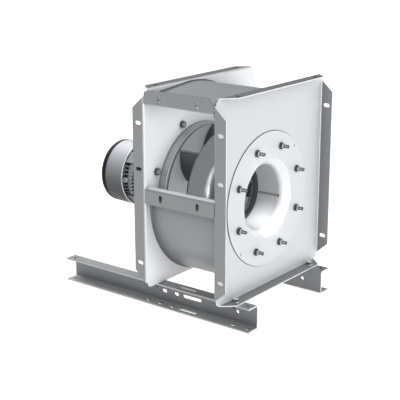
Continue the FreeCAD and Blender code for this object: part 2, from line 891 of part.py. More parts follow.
def impeller_blade(number):
    """A backward-curved blade, bent to one arc and trimmed to the shroud."""
    body = make_body(f"impeller_blade_{number + 1}", shaft_x, 0, shaft_z)
    angle = size("first_blade_angle") + number * 360 / size("blade_count")
    body.Placement.Rotation = FreeCAD.Rotation(FreeCAD.Vector(0, -1, 0), angle.value)
    bind(body, "Placement.Rotation.Angle", angle)
    outer = size("blade_radius")
    inner = outer - size("blade_thickness")
    tip_reach = impeller_radius - size("rim_overhang")
    root_reach = size("blade_inner_radius")
    sketch = make_sketch(body, "XZ_Plane", backplate_front_y)
    draw_outline(sketch, [
        blade_point(outer, tip_reach),
        blade_point(outer, root_reach) + (outer, 1),
        blade_point(inner, root_reach),
        blade_point(inner, tip_reach) + (inner, -1)])
    pad(body, sketch, backplate_front_y - neck_end_y)
    past_rim = impeller_radius + shroud_corner
    trim = make_sketch(body, "XY_Plane")
    draw_outline(trim, [
        (neck, neck_end_y - shroud_corner), (neck, flow_corner_y - flow_run),
        (neck + flow_run * cosine(shroud_slope), flow_corner_y + flow_run * sine(shroud_slope),
         shroud_corner + shroud_wall, -1),
        (past_rim, shroud_rim_y + shroud_corner * tangent(shroud_slope)),
        (past_rim, neck_end_y - shroud_corner)])
    turn_solid(body, trim, groove=True)
    return body


hub_front_y = backplate_front_y - size("hub_length")
shaft_end_y = hub_front_y + size("shaft_end_step")


def impeller_hub():
    """The hub: a flange riveted to the backplate and a boss keyed to the shaft."""
    bore = size("shaft_radius") + fit_gap
    flange_front_y = backplate_front_y - size("hub_flange_thickness")
    boss = size("hub_boss_radius")
    corner = size("bend_radius")
    body = turned_piece("impeller_hub", [
        (bore, hub_front_y), (boss - corner, hub_front_y), (boss, hub_front_y + corner, corner, 1),
        (boss, flange_front_y - corner), (boss + corner, flange_front_y, corner, -1),
        (size("hub_flange_radius"), flange_front_y), (size("hub_flange_radius"), backplate_front_y),
        (bore, backplate_front_y)])
    holes_round(body, size("rivet_diameter") + 2 * fit_gap, size("rivet_circle"),
                size("rivet_count"), as_size(0))
    keyway = make_sketch(body, "XZ_Plane")
    half_key = size("key_width") / 2 + fit_gap
    key_top = size("shaft_radius") + size("key_height") - size("key_depth") + fit_gap
    draw_rectangle(keyway, -half_key, 0, half_key, key_top)
    cut_through(body, keyway)
    return body


impeller_backplate()
impeller_shroud()
for blade_number in range(int(size("blade_count").value)):
    impeller_blade(blade_number)
impeller_hub()

# Shaft line and motor. Motor places are counted from the face of its flange.
stator_y = motor_face_y + size("stator_start")
stator_end_y = stator_y + size("stator_length")
frame_y = motor_face_y + size("frame_start")
frame_end_y = frame_y + size("frame_length")
front_bearing_y = motor_face_y + size("motor_flange_thickness") - size("bearing_set_back")
rear_bearing_y = frame_end_y + size("rear_ring_length") + size("bearing_set_back")
bearing_width = size("bearing_width")
cooling_fan_y = motor_face_y + size("cooling_fan_start")
cooling_fan_end_y = cooling_fan_y + size("cooling_fan_length")
key_seat_y = shaft_end_y + size("key_start")
cowl_screw_y = motor_face_y + size("cowl_start") - size("tab_screw_place")


def motor_shaft():
    """The stepped motor shaft, with the keyway for the hub."""
    drive = size("shaft_radius")
    journal = size("journal_radius")
    seat = size("core_seat_radius")
    tail = size("fan_seat_radius")
    end_bore = size("end_screw_diameter") / 2 + fit_gap
    body = turned_piece("motor_shaft", [
        (end_bore, shaft_end_y), (drive, shaft_end_y), (drive, front_bearing_y),
        (journal, front_bearing_y), (journal, front_bearing_y + bearing_width),
        (seat, front_bearing_y + bearing_width), (seat, rear_bearing_y), (journal, rear_bearing_y),
        (journal, rear_bearing_y + bearing_width), (tail, rear_bearing_y + bearing_width),
        (tail, cooling_fan_end_y), (0, cooling_fan_end_y),
        (0, shaft_end_y + size("end_screw_length")),
        (end_bore, shaft_end_y + size("end_screw_length"))])
    keyway = make_sketch(body, "XZ_Plane", key_seat_y)
    half_key = size("key_width") / 2 + fit_gap
    draw_rectangle(keyway, -half_key, drive - size("key_depth"), half_key, drive + size("key_depth"))
    feature = body.newObject("PartDesign::Pocket", "keyway_cut")
    feature.Profile = keyway
    feature.Length = size("key_length").value
    bind(feature, "Length", size("key_length") + fit_gap)
    finish(body, feature)
    return body


def shaft_key():
    """The parallel key between the shaft and the hub."""
    body = make_body("shaft_key", shaft_x, 0, shaft_z)
    half_key = size("key_width") / 2
    low = size("shaft_radius") - size("key_depth") + fit_gap
    sketch = make_sketch(body, "XZ_Plane", key_seat_y + fit_gap)
    draw_rectangle(sketch, -half_key, low, half_key, low + size("key_height") - fit_gap)
    pad(body, sketch, size("key_length") - fit_gap, reverse=True)
    return body


def rotor_core():
    """The squirrel-cage rotor: a laminated core with a cast ring at each end."""
    rim = size("stator_bore") - size("air_gap")
    bore = size("core_seat_radius") + fit_gap
    ring_low = bore + size("end_ring_step")
    ring_high = rim - size("coil_gap")
    ring = size("end_ring_length")
    return turned_piece("rotor_core", [
        (bore, stator_y), (ring_low, stator_y), (ring_low, stator_y - ring),
        (ring_high, stator_y - ring), (ring_high, stator_y), (rim, stator_y), (rim, stator_end_y),
        (ring_high, stator_end_y), (ring_high, stator_end_y + ring), (ring_low, stator_end_y + ring),
        (ring_low, stator_end_y), (bore, stator_end_y)])


def bearing(place_name, start_y):
    """A shielded ball bearing: the inner ring turns with the shaft, the outer ring stays."""
    journal = size("journal_radius")
    inner_rim = journal + size("inner_ring_wall")
    outer = size("bearing_radius")
    outer_bore = outer - size("outer_ring_wall")
    shield = size("bearing_shield")
    shield_bore = inner_rim + size("seat_gap")
    end_y = start_y + bearing_width
    turned_piece(f"{place_name}_bearing_inner_ring", [
        (journal + fit_gap, start_y), (inner_rim, start_y), (inner_rim, end_y),
        (journal + fit_gap, end_y)])
    turned_piece(f"{place_name}_bearing_outer_ring", [
        (shield_bore, start_y), (outer, start_y), (outer, end_y), (shield_bore, end_y),
        (shield_bore, end_y - shield), (outer_bore, end_y - shield),
        (outer_bore, start_y + shield), (shield_bore, start_y + shield)])


def drive_end_flange():
    """The cast motor flange with its spigot and the front bearing seat."""
    face = motor_face_y
    spigot = size("spigot_radius")
    frame_bore = size("frame_bore") - fit_gap
    seat = size("bearing_radius") + fit_gap
    shaft_hole = size("shaft_radius") + size("shaft_clearance")
    thick = size("motor_flange_thickness")
    rib = size("box_wall")
    seat_end_y = front_bearing_y + bearing_width
    body = turned_piece("drive_end_flange", [
        (shaft_hole, face + rib), (spigot - 2 * rib, face + rib),
        (spigot - rib, face - size("spigot_height")), (spigot, face - size("spigot_height")),
        (spigot, face), (size("flange_radius"), face), (size("flange_radius"), face + thick),
        (size("neck_outside"), face + thick), (size("neck_outside"), frame_y - rib),
        (size("frame_radius"), frame_y),
        (frame_bore, frame_y), (frame_bore, frame_y + size("register_length")),
        (frame_bore - rib, frame_y + size("register_length")),
        (frame_bore - 2 * rib, face + thick + rib),
        (seat + 2 * rib, face + thick + rib), (seat + 2 * rib, seat_end_y), (seat, seat_end_y),
        (seat, front_bearing_y - fit_gap), (shaft_hole, front_bearing_y - fit_gap)])
    holes_round(body, bolt_hole, size("motor_flange_circle"), size("motor_bolt_count"), as_size(45))
    return body


def fin_ring(body, start_y, length, turn_angle):
    """A ring of cooling fins along the shaft line."""
    half = size("fin_thickness") / 2
    root = size("frame_radius") - overrun
    tip = size("fin_radius")
    sketch = make_sketch(body, "XZ_Plane", start_y)
    corners = [(root, -half), (tip, -half), (tip, half), (root, half)]
    turned = [(along * cosine(turn_angle) - across * sine(turn_angle),
               along * sine(turn_angle) + across * cosine(turn_angle)) for along, across in corners]
    draw_outline(sketch, turned)
    fin = pad(body, sketch, length, reverse=True)
    repeat_round(body, [fin], size("fin_count"))


def corner_pads(body, start_y, length):
    """Four flat pads between the fins, at the corners of the frame."""
    sketch = make_sketch(body, "XZ_Plane", start_y)
    root = size("frame_radius") - size("bend_radius")
    corner = as_size(45)
    half = size("pad_width") / 2
    steps = []
    for along, across in ((root, -half), (size("pad_reach"), -half), (size("pad_reach"), half),
                          (root, half)):
        steps.append((along * cosine(corner) - across * sine(corner),
                      along * sine(corner) + across * cosine(corner)))
    draw_outline(sketch, steps)
    repeat_round(body, [pad(body, sketch, length, reverse=True)], size("motor_bolt_count"))


def motor_housing():
    """The finned motor frame with the flat seat of the terminal box on top."""
    bore = size("frame_bore")
    outside = size("frame_radius")
    body = turned_piece("motor_housing", [
        (bore, frame_y), (outside, frame_y), (outside, frame_end_y), (bore, frame_end_y)])
    fin_ring(body, frame_y, size("frame_length"), as_size(0))
    corner_pads(body, frame_y, size("frame_length"))
    seat = make_sketch(body, "XY_Plane", size("seat_height"))
    half = size("seat_width") / 2
    start_y = motor_face_y + size("seat_start")
    draw_rectangle(seat, -half, start_y, half, start_y + size("seat_length"))
    pad(body, seat, size("seat_height") - bore - 2 * overrun, reverse=True)
    ring_of_blind_holes(body, size("shield_screw_diameter") / 2 + fit_gap, size("shield_screw_circle"),
                        frame_end_y, 2 * (size("shield_screw_reach") + overrun))
    return body


def ring_of_blind_holes(body, radius, circle, level_y, depth):
    """Four holes at the corners of the frame, cut to a depth shared by both sides of a level."""
    sketch = make_sketch(body, "XZ_Plane", level_y)
    reach = circle / 2 * cosine(as_size(45))
    draw_circle(sketch, reach, reach, radius)
    repeat_round(body, [cut_about(body, sketch, depth)], size("motor_bolt_count"))


def rear_end_shield():
    """The rear motor shield: a plain ring, a second ring of fins and four cowl bosses."""
    bore = size("frame_bore") - fit_gap
    ring_y = frame_end_y + size("rear_ring_length")
    end_y = frame_end_y + size("rear_shield_length")
    outside = size("frame_radius")
    seat = size("bearing_radius") + fit_gap
    rib = size("box_wall")
    shaft_hole = size("journal_radius") + size("shaft_clearance")
    bearing_end_y = rear_bearing_y + bearing_width
    body = turned_piece("rear_end_shield", [
        (seat, rear_bearing_y), (seat + 2 * rib, rear_bearing_y), (seat + 2 * rib, ring_y + rib),
        (bore - 2 * rib, ring_y + rib), (bore - rib, frame_end_y - size("register_length")),
        (bore, frame_end_y - size("register_length")), (bore, frame_end_y),
        (size("fin_radius"), frame_end_y), (size("fin_radius"), ring_y), (outside, ring_y),
        (outside, end_y), (outside - 2 * rib, end_y), (seat + 3 * rib, bearing_end_y + rib),
        (shaft_hole, bearing_end_y + rib), (shaft_hole, bearing_end_y + fit_gap),
        (seat, bearing_end_y + fit_gap)])
    fin_ring(body, ring_y - overrun, end_y - ring_y, 180 / size("fin_count"))
    corner_pads(body, frame_end_y, size("rear_shield_length"))
    sketch = make_sketch(body, "XZ_Plane", end_y - size("boss_length"))
    half = size("boss_width") / 2
    draw_rectangle(sketch, outside - 2 * overrun, -half, size("boss_radius"), half)
    boss = pad(body, sketch, size("boss_length"), reverse=True)
    repeat_round(body, [boss], size("motor_bolt_count"))
    ring_of_blind_holes(body, size("shield_screw_diameter") / 2 + fit_gap, size("shield_screw_circle"),
                        frame_end_y, 3 * size("rear_shield_length"))
    cowl_screw_holes(body)
    return body


def cowl_screw_holes(body):
    """Four holes for the screws of the cowl, across the shaft line."""
    radius = size("small_screw") / 2 + fit_gap
    sketch = make_sketch(body, "YZ_Plane")
    draw_circle(sketch, cowl_screw_y, 0, radius)
    cut_about(body, sketch, 2 * size("cowl_radius") + size("boss_width"))
    sketch = make_sketch(body, "XY_Plane")
    draw_circle(sketch, 0, cowl_screw_y, radius)
    cut_about(body, sketch, 2 * size("cowl_radius") + size("boss_width"))


def stator():
    """The stator core and the two end bundles of its winding."""
    core_bore = size("stator_bore")
    outside = size("frame_bore") - fit_gap
    turned_piece("stator_core", [
        (core_bore, stator_y), (outside, stator_y), (outside, stator_end_y), (core_bore, stator_end_y)])
    low = core_bore + size("coil_gap")
    high = outside - size("coil_back_gap")
    bend = size("bend_radius")
    bundles = []
    for name, start_y, end_y in (
            ("front_bundle", stator_y - size("winding_length"), stator_y),
            ("rear_bundle", stator_end_y, stator_end_y + size("winding_length"))):
        bundle = turned_piece(name, [
            (high - bend, start_y), (high, start_y + bend, bend, 1),
            (high, end_y - bend), (high - bend, end_y, bend, 1), (low + bend, end_y),
            (low, end_y - bend, bend, 1), (low, start_y + bend), (low + bend, start_y, bend, 1)])
        bundles.append(bundle)
    winding = doc.addObject("Part::Compound", "stator_winding")
    winding.Label = "stator_winding"
    winding.Links = bundles
    return bundles


def fan_cowl():
    """The pressed cowl over the cooling fan, with a grille in its rear face."""
    front = motor_face_y + size("cowl_start")
    rear = front + size("cowl_length")
    wall = size("cowl_thickness")
    corner = size("cowl_corner_radius")
    wide = size("cowl_radius")
    narrow = size("cowl_rear_radius")
    body = turned_piece("fan_cowl", [
        (wide - wall, front), (wide, front), (narrow, rear - corner),
        (narrow - corner, rear, corner, 1), (as_size(0), rear), (as_size(0), rear - wall),
        (narrow - corner, rear - wall), (narrow - wall, rear - corner, corner - wall, -1)])
    tabs = make_sketch(body, "XZ_Plane", front - size("tab_length"))
    inner = wide - wall
    half_tab = size("tab_angle") / 2
    across = cosine(half_tab)
    along = sine(half_tab)
    draw_outline(tabs, [
        (wide * across, -wide * along), (wide * across, wide * along, wide, 1),
        (inner * across, inner * along), (inner * across, -inner * along, inner, -1)])
    tab = pad(body, tabs, size("tab_length"), reverse=True)
    repeat_round(body, [tab], size("motor_bolt_count"))
    sketch = make_sketch(body, "XZ_Plane", rear)
    middle = (size("grille_inner_radius") + size("grille_outer_radius")) / 2
    long = size("grille_outer_radius") - size("grille_inner_radius")
    draw_slot(sketch, middle, 0, long, size("grille_slot_width"))
    repeat_round(body, [cut_about(body, sketch, 4 * wall)], size("grille_count"))
    cowl_screw_holes(body)
    return body


def cooling_fan():
    """The motor's own radial cooling fan."""
    bore = size("fan_seat_radius") + fit_gap
    hub = bore + size("cooling_hub_wall")
    disc = size("vane_thickness")
    rim = size("cooling_fan_radius")
    body = turned_piece("motor_cooling_fan", [
        (bore, cooling_fan_y), (rim, cooling_fan_y), (rim, cooling_fan_y + disc),
        (hub, cooling_fan_y + disc), (hub, cooling_fan_end_y), (bore, cooling_fan_end_y)])
    sketch = make_sketch(body, "XZ_Plane", cooling_fan_y)
    half = disc / 2
    draw_rectangle(sketch, hub - overrun, -half, rim, half)
    vane = pad(body, sketch, size("cooling_fan_length") - overrun, reverse=True)
    repeat_round(body, [vane], size("vane_count"))
    return body


def terminal_box():
    """The terminal box on the frame's seat, its lid and its cable gland."""
    half = size("box_width") / 2
    low_z = shaft_z + size("seat_height")
    middle_y = motor_face_y + size("seat_start") + size("seat_length") / 2
    tall = size("box_height")
    corner = size("box_corner")
    wall = size("box_wall")

    def rounded_block(label, half_side, base_z, height):
        body = make_body(label, shaft_x, middle_y, base_z)
        sketch = make_sketch(body, "XY_Plane")
        draw_outline(sketch, [
            (half_side - corner, -half_side), (half_side, -half_side + corner, corner, 1),
            (half_side, half_side - corner), (half_side - corner, half_side, corner, 1),
            (-half_side + corner, half_side), (-half_side, half_side - corner, corner, 1),
            (-half_side, -half_side + corner), (-half_side + corner, -half_side, corner, 1)])
        pad(body, sketch, height)
        return body

    def screw_holes(body, level, depth):
        sketch = make_sketch(body, "XY_Plane", level)
        reach = half - corner
        for side_x in (-1, 1):
            for side_y in (-1, 1):
                draw_circle(sketch, side_x * reach, side_y * reach, size("small_screw") / 2 + fit_gap)
        cut_about(body, sketch, depth)

    box = rounded_block("terminal_box", half, low_z, tall)
    hollow = make_sketch(box, "XY_Plane", tall)
    hollow_half = half - 2 * corner + wall
    draw_rectangle(hollow, -hollow_half, -half + wall, hollow_half, half - wall)
    cut_about(box, hollow, 2 * (tall - wall))
    screw_holes(box, tall, 2 * (size("lid_screw_length") - size("lid_height") + overrun))
    entry = make_sketch(box, "YZ_Plane", half)
    draw_circle(entry, 0, tall / 2, size("gland_neck_radius"))
    cut_about(box, entry, half)
    lid_half = half + size("lid_overhang")
    lid = rounded_block("terminal_box_lid", lid_half, low_z + tall, size("lid_height"))
    screw_holes(lid, 0, 3 * size("lid_height"))

    board = make_body("terminal_board", shaft_x, middle_y, low_z + wall)
    sketch = make_sketch(board, "XY_Plane")
    half_board = size("board_width") / 2
    draw_rectangle(sketch, -half_board, -size("board_length") / 2, half_board, size("board_length") / 2)
    pad(board, sketch, size("board_height"))
    studs = make_sketch(board, "XY_Plane", size("board_height") - overrun)
    for step in (-1, 0, 1):
        for side in (-1, 1):
            draw_circle(studs, step * size("terminal_pitch"), side * size("terminal_row_gap") / 2,
                        size("terminal_diameter") / 2)
    pad(board, studs, size("terminal_height") + overrun)
    return box


def cable_gland():
    """The gland in the side of the terminal box: a thread, a hexagon and a neck round one bore."""
    middle_y = motor_face_y + size("seat_start") + size("seat_length") / 2
    entry_z = shaft_z + size("seat_height") + size("box_height") / 2
    body = make_body("cable_gland", shaft_x + size("box_width") / 2, middle_y, entry_z)
    hexagon_sketch = make_sketch(body, "YZ_Plane")
    corner = size("gland_radius")
    across = corner * cosine(as_size(30))
    draw_outline(hexagon_sketch, [
        (corner / 2, -across), (corner, 0), (corner / 2, across), (-corner / 2, across), (-corner, 0),
        (-corner / 2, -across)])
    pad(body, hexagon_sketch, size("gland_hex_length"))
    thread = make_sketch(body, "YZ_Plane", -size("gland_thread_length"))
    draw_circle(thread, 0, 0, size("gland_neck_radius") - fit_gap)
    pad(body, thread, size("gland_thread_length") + size("gland_length"))
    bore = make_sketch(body, "YZ_Plane")
    draw_circle(bore, 0, 0, size("gland_bore_radius"))
    cut_through(body, bore)
    return body


# Fasteners


def hexagon(width, height, bore=None):
    """A hexagonal prism standing on z = 0, with an optional hole."""
    corner = width / math.sqrt(3)
    points = []
    for step in range(7):
        angle = math.radians(60 * step)
        points.append(FreeCAD.Vector(corner * math.cos(angle), corner * math.sin(angle), 0))
    prism = Part.Face(Part.makePolygon(points)).extrude(FreeCAD.Vector(0, 0, height))
    if bore is None:
        return prism
    return prism.cut(Part.makeCylinder(bore, height))


def ring(outside, bore, height):
    """A flat ring standing on z = 0."""
    return Part.makeCylinder(outside, height).cut(Part.makeCylinder(bore, height))


def group(label, shape, places):
    """One node of equal pieces: each place holds a point and the direction of the piece's axis."""
    copies = []
    for point, direction in places:
        copy = shape.copy()
        turn = FreeCAD.Rotation(FreeCAD.Vector(0, 0, 1), direction)
        copy.Placement = FreeCAD.Placement(point, turn)
        copies.append(copy)
    item = doc.addObject("Part::Feature", label)
    item.Label = label
    item.Shape = Part.makeCompound(copies)
    return item


def ring_places(radius, count, start_angle, level_y, direction):
    """Places on a circle about the shaft line."""
    places = []
    for step in range(int(count.value)):
        angle = math.radians(start_angle.value + 360 * step / count.value)
        point = FreeCAD.Vector(shaft_x.value + radius.value * math.cos(angle), level_y.value,
                               shaft_z.value + radius.value * math.sin(angle))
        places.append((point, direction))
    return places


def bolt_shape(shank_radius, head, head_height, length):
    """A hexagon bolt: the head stands under z = 0 and the shank above it."""
    bolt_head = hexagon(head, head_height)
    bolt_head.translate(FreeCAD.Vector(0, 0, -head_height))
    return bolt_head.fuse(Part.makeCylinder(shank_radius, length))


def round_screw(shank, head, head_height, length):
    """A round-headed screw: the head stands under z = 0 and the shank above it."""
    cap = Part.makeCylinder(head.value / 2, head_height.value, FreeCAD.Vector(0, 0, -head_height.value))
    return cap.fuse(Part.makeCylinder(shank.value / 2, length.value))


def fasteners():
    """Every bolt, nut, washer, screw and rivet, in groups of equal pieces."""
    backward = FreeCAD.Vector(0, -1, 0)
    forward = FreeCAD.Vector(0, 1, 0)
    down = FreeCAD.Vector(0, 0, -1)
    up = FreeCAD.Vector(0, 0, 1)
    shank = size("bolt_diameter").value / 2
    head = size("bolt_head_width").value
    head_height = size("bolt_head_height").value
    bore = shank + fit_gap.value
    washer_height = size("washer_thickness")
    washer = ring(size("washer_diameter").value / 2, bore, washer_height.value)
    nut_height = size("nut_height")
    nut = hexagon(head, nut_height.value, bore)
    tip = size("bolt_tip")

    # Inlet: heads inside the casing, free ends standing out of the nuts.
    # The rolled thread has its mean size up to the nut and its full size on the free end.
    nozzle_front_y = front_face_y - size("nozzle_thickness")
    stud_length = plate_thickness + size("stud_reach")
    stack = plate_thickness + size("nozzle_thickness") + washer_height + nut_height
    thread_start = stack + size("thread_runout")
    stud_ring = stud_circle / 2
    rolled_shank = shank - size("shank_undersize").value
    bolt = bolt_shape(rolled_shank, head, head_height, thread_start.value)
    free_end = Part.makeCylinder(shank, (stud_length - thread_start).value,
                                 FreeCAD.Vector(0, 0, thread_start.value))
    bolt = bolt.fuse(free_end)
    group("inlet_bolts", bolt,
          ring_places(stud_ring, stud_count, first_bolt_angle, casing_front_y, backward))
    group("inlet_washers", washer,
          ring_places(stud_ring, stud_count, first_bolt_angle, nozzle_front_y, backward))
    inlet_nut = hexagon(head, nut_height.value, rolled_shank + fit_gap.value)
    group("inlet_nuts", inlet_nut, ring_places(
        stud_ring, stud_count, first_bolt_angle, nozzle_front_y - washer_height, backward))

    # Motor plate: heads inside the casing, nuts behind the plate
    wall = plate_thickness + size("motor_plate_thickness")
    plate_ring = size("motor_plate_circle") / 2
    bolt_length = washer_height + wall + nut_height + tip
    bolt = bolt_shape(shank, head, head_height, bolt_length.value)
    group("motor_plate_bolts", bolt, ring_places(
        plate_ring, stud_count, first_bolt_angle, casing_rear_y - washer_height, forward))
    group("motor_plate_washers", washer, ring_places(
        plate_ring, stud_count, first_bolt_angle, casing_rear_y - washer_height, forward))
    group("motor_plate_nuts", nut,
          ring_places(plate_ring, stud_count, first_bolt_angle, motor_face_y, forward))

    # Motor flange: screwed into the motor plate from behind
    flange_back_y = motor_face_y + size("motor_flange_thickness")
    flange_ring = size("motor_flange_circle") / 2
    screw_length = washer_height + size("motor_flange_thickness") + size("motor_plate_thickness")
    bolt = bolt_shape(shank, head, head_height, screw_length.value)
    corner = as_size(45)
    group("motor_flange_bolts", bolt, ring_places(
        flange_ring, size("motor_bolt_count"), corner, flange_back_y + washer_height, backward))
    group("motor_flange_washers", washer, ring_places(
        flange_ring, size("motor_bolt_count"), corner, flange_back_y, forward))

    # Base: through the plates' lower flanges and the rails' upper flanges
    flange_top = rail_height + plate_thickness
    rail_top_wall = size("rail_thickness")
    slot_reach = size("flange_width") - size("slot_edge")
    levels_y = (casing_front_y - slot_reach, casing_rear_y + slot_reach)
    corners = []
    for side in (-1, 1):
        for level_y in levels_y:
            corners.append((side * rail_line_x.value, level_y.value))

    def at_height(height, direction):
        return [(FreeCAD.Vector(x, y, height.value), direction) for x, y in corners]

    stack = 2 * washer_height + plate_thickness + rail_top_wall + nut_height + tip
    bolt = bolt_shape(shank, head, head_height, stack.value)
    group("base_bolts", bolt, at_height(flange_top + washer_height, down))
    under_rail = rail_height - rail_top_wall
    group("base_washers", washer,
          at_height(flange_top, up) + at_height(under_rail, down))
    group("base_nuts", nut, at_height(under_rail - washer_height, down))

    # Hub rivets, with a flat head in front and a flat head behind
    rivet_head = size("rivet_head_diameter").value / 2
    rivet_height = size("rivet_head_height").value
    grip = size("hub_flange_thickness") + size("backplate_thickness")
    rivet = Part.makeCylinder(size("rivet_diameter").value / 2, grip.value)
    for level in (-rivet_height, grip.value):
        rivet = rivet.fuse(Part.makeCylinder(rivet_head, rivet_height, FreeCAD.Vector(0, 0, level)))
    group("hub_rivets", rivet, ring_places(
        size("rivet_circle") / 2, size("rivet_count"), as_size(0),
        backplate_front_y - size("hub_flange_thickness"), forward))

    # Shaft end: a washer that clamps the hub, and its screw
    end_bore = size("end_screw_diameter").value / 2
    end_washer = ring(size("end_washer_radius").value, end_bore + fit_gap.value,
                      size("end_washer_thickness").value)
    centre = [(FreeCAD.Vector(shaft_x.value, hub_front_y.value, shaft_z.value), backward)]
    group("shaft_end_washer", end_washer, centre)
    washer_to_shaft = size("end_washer_thickness") + shaft_end_y - hub_front_y
    screw_reach = washer_to_shaft + size("end_screw_length") - tip
    screw = bolt_shape(end_bore, size("end_screw_head").value, size("end_screw_head_height").value,
                       screw_reach.value)
    washer_front_y = hub_front_y - size("end_washer_thickness")
    centre = [(FreeCAD.Vector(shaft_x.value, washer_front_y.value, shaft_z.value), forward)]
    group("shaft_end_screw", screw, centre)

    # Rear shield, behind the cowl's rim
    shield_end_y = frame_end_y + size("rear_shield_length")
    screw = round_screw(size("shield_screw_diameter"), size("shield_screw_head"),
                        size("shield_screw_head_height"),
                        size("rear_shield_length") + size("shield_screw_reach"))
    group("end_shield_screws", screw, ring_places(
        size("shield_screw_circle") / 2, size("motor_bolt_count"), corner, shield_end_y, backward))

    # Cowl tabs and terminal box lid
    small = size("small_screw")
    small_head = size("small_head")
    small_height = size("small_head_height")
    grip = size("cowl_radius") - size("boss_radius") + size("boss_width")
    screw = round_screw(small, small_head, small_height, grip)
    places = []
    for step in range(4):
        angle = math.radians(90 * step)
        outward = FreeCAD.Vector(math.cos(angle), 0, math.sin(angle))
        centre = FreeCAD.Vector(shaft_x.value, cowl_screw_y.value, shaft_z.value)
        places.append((centre + outward * size("cowl_radius").value, outward * -1))
    group("cowl_screws", screw, places)
    lid_top = shaft_z + size("seat_height") + size("box_height") + size("lid_height")
    middle_y = motor_face_y + size("seat_start") + size("seat_length") / 2
    reach = size("box_width").value / 2 - size("box_corner").value
    screw = round_screw(small, small_head, small_height, size("lid_screw_length"))
    places = []
    for side_x in (-1, 1):
        for side_y in (-1, 1):
            point = FreeCAD.Vector(shaft_x.value + side_x * reach, middle_y.value + side_y * reach,
                                   lid_top.value)
            places.append((point, down))
    group("terminal_box_screws", screw, places)


motor_shaft()
shaft_key()
rotor_core()
bearing("front", front_bearing_y)
bearing("rear", rear_bearing_y)
drive_end_flange()
motor_housing()
rear_end_shield()
loose_bundles = stator()
fan_cowl()
cooling_fan()
terminal_box()
cable_gland()
fasteners()

# Base


def base_rail(label, side):
    """A folded channel rail whose flanges point away from the middle. side is -1 or 1."""
    body = make_body(label, side * size("rail_spacing") / 2, 0, 0)
    wall = size("rail_thickness")
    wide = size("rail_flange")
    bend = size("bend_radius")
    outer = bend + wall
    tall = rail_height
    turn = 1 if side > 0 else -1

    def out(amount):
        return side * as_size(amount)

    profile = make_sketch(body, "XZ_Plane")
    draw_outline(profile, [
        (out(wide), as_size(0)), (out(wide), wall), (out(outer), wall),
        (out(wall), outer, bend, -turn), (out(wall), tall - outer),
        (out(outer), tall - wall, bend, -turn), (out(wide), tall - wall), (out(wide), tall),
        (out(outer), tall), (out(0), tall - outer, outer, turn), (out(0), outer),
        (out(outer), as_size(0), outer, turn)])
    pad(body, profile, size("rail_length"), both_ways=True)

    hole = bolt_hole / 2
    oval = size("rail_oval_length")
    slot_reach = size("flange_width") - size("slot_edge")
    end_y = size("rail_length") / 2 - size("rail_end_hole")
    slot_y = front_face_y + size("rail_slot_place")
    oval_y = front_face_y + size("rail_oval_place")
    pitch = size("rail_oval_pitch")
    line = out(size("rail_hole_offset"))

    web = make_sketch(body, "YZ_Plane")
    middle = tall / 2
    draw_circle(web, front_face_y - size("rail_web_hole"), middle, hole)
    draw_slot(web, slot_y, middle, size("rail_slot_length"), bolt_hole)
    for place_y in (oval_y, oval_y + pitch):
        draw_slot(web, place_y, middle, oval, bolt_hole)
    cut_through(body, web)

    top = make_sketch(body, "XY_Plane", tall)
    for place_y in (-end_y, end_y, casing_front_y - slot_reach, casing_rear_y + slot_reach,
                    oval_y + pitch / 4):
        draw_circle(top, line, place_y, hole)
    draw_slot(top, line, slot_y, size("rail_slot_length"), bolt_hole, upright=True)
    cut_about(body, top, 4 * wall)

    foot = make_sketch(body, "XY_Plane", 0)
    for place_y in (-end_y, end_y):
        draw_circle(foot, line, place_y, hole)
    for place_y in (front_face_y - size("rail_web_hole"), oval_y, oval_y + pitch, oval_y + 2 * pitch):
        draw_slot(foot, line, place_y, oval, bolt_hole, upright=True)
    draw_slot(foot, line, slot_y, size("rail_slot_length"), bolt_hole, upright=True)
    cut_about(body, foot, 4 * wall)
    return body


base_rail("rail_left", -1)
base_rail("rail_right", 1)

doc.recompute()

# Check every object, then write each piece
for item in doc.Objects:
    if {"Invalid", "Error"} & set(item.State):
        raise RuntimeError(f"{item.Label} is {item.State}")
pieces = []
for item in doc.Objects:
    if item in loose_bundles:
        continue
    if item.TypeId in ("PartDesign::Body", "Part::Feature", "Part::Compound"):
        pieces.append(item)
for piece in pieces:
    if piece.Shape.isNull() or not piece.Shape.isValid():
        raise RuntimeError(f"{piece.Label} has no valid shape")
os.makedirs("parts", exist_ok=True)
for piece in pieces:
    piece.Shape.exportStep(os.path.join("parts", piece.Label + ".step"))
    print(f"{piece.Label}: {len(piece.Shape.Solids)} solid(s), {piece.Shape.Volume / 1000:.1f} cm3")
print(len(pieces), "nodes")
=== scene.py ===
import sys
import logging
import math
from dataclasses import dataclass, field
from enum import Enum
from typing import Callable, ClassVar, Iterable, Sequence

import bmesh
import bpy
from mathutils import Matrix, Vector


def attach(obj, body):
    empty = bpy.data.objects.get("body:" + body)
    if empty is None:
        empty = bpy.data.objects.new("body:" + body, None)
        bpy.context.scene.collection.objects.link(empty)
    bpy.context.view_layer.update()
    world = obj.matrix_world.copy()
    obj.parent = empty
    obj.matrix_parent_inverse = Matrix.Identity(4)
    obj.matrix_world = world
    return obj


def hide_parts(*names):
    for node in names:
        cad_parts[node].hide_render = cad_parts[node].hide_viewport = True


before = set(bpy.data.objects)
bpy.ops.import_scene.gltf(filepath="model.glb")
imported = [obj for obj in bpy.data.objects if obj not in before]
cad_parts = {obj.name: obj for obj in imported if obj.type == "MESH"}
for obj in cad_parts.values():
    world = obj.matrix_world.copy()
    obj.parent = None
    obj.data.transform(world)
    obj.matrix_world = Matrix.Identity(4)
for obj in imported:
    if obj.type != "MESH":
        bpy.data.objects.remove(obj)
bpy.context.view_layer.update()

MM = 0.001
BROKEN_EDGE = 0.3 * MM
INLET_WARD = Vector((0.0, -1.0, 0.0))
MOTOR_WARD = Vector((0.0, 1.0, 0.0))
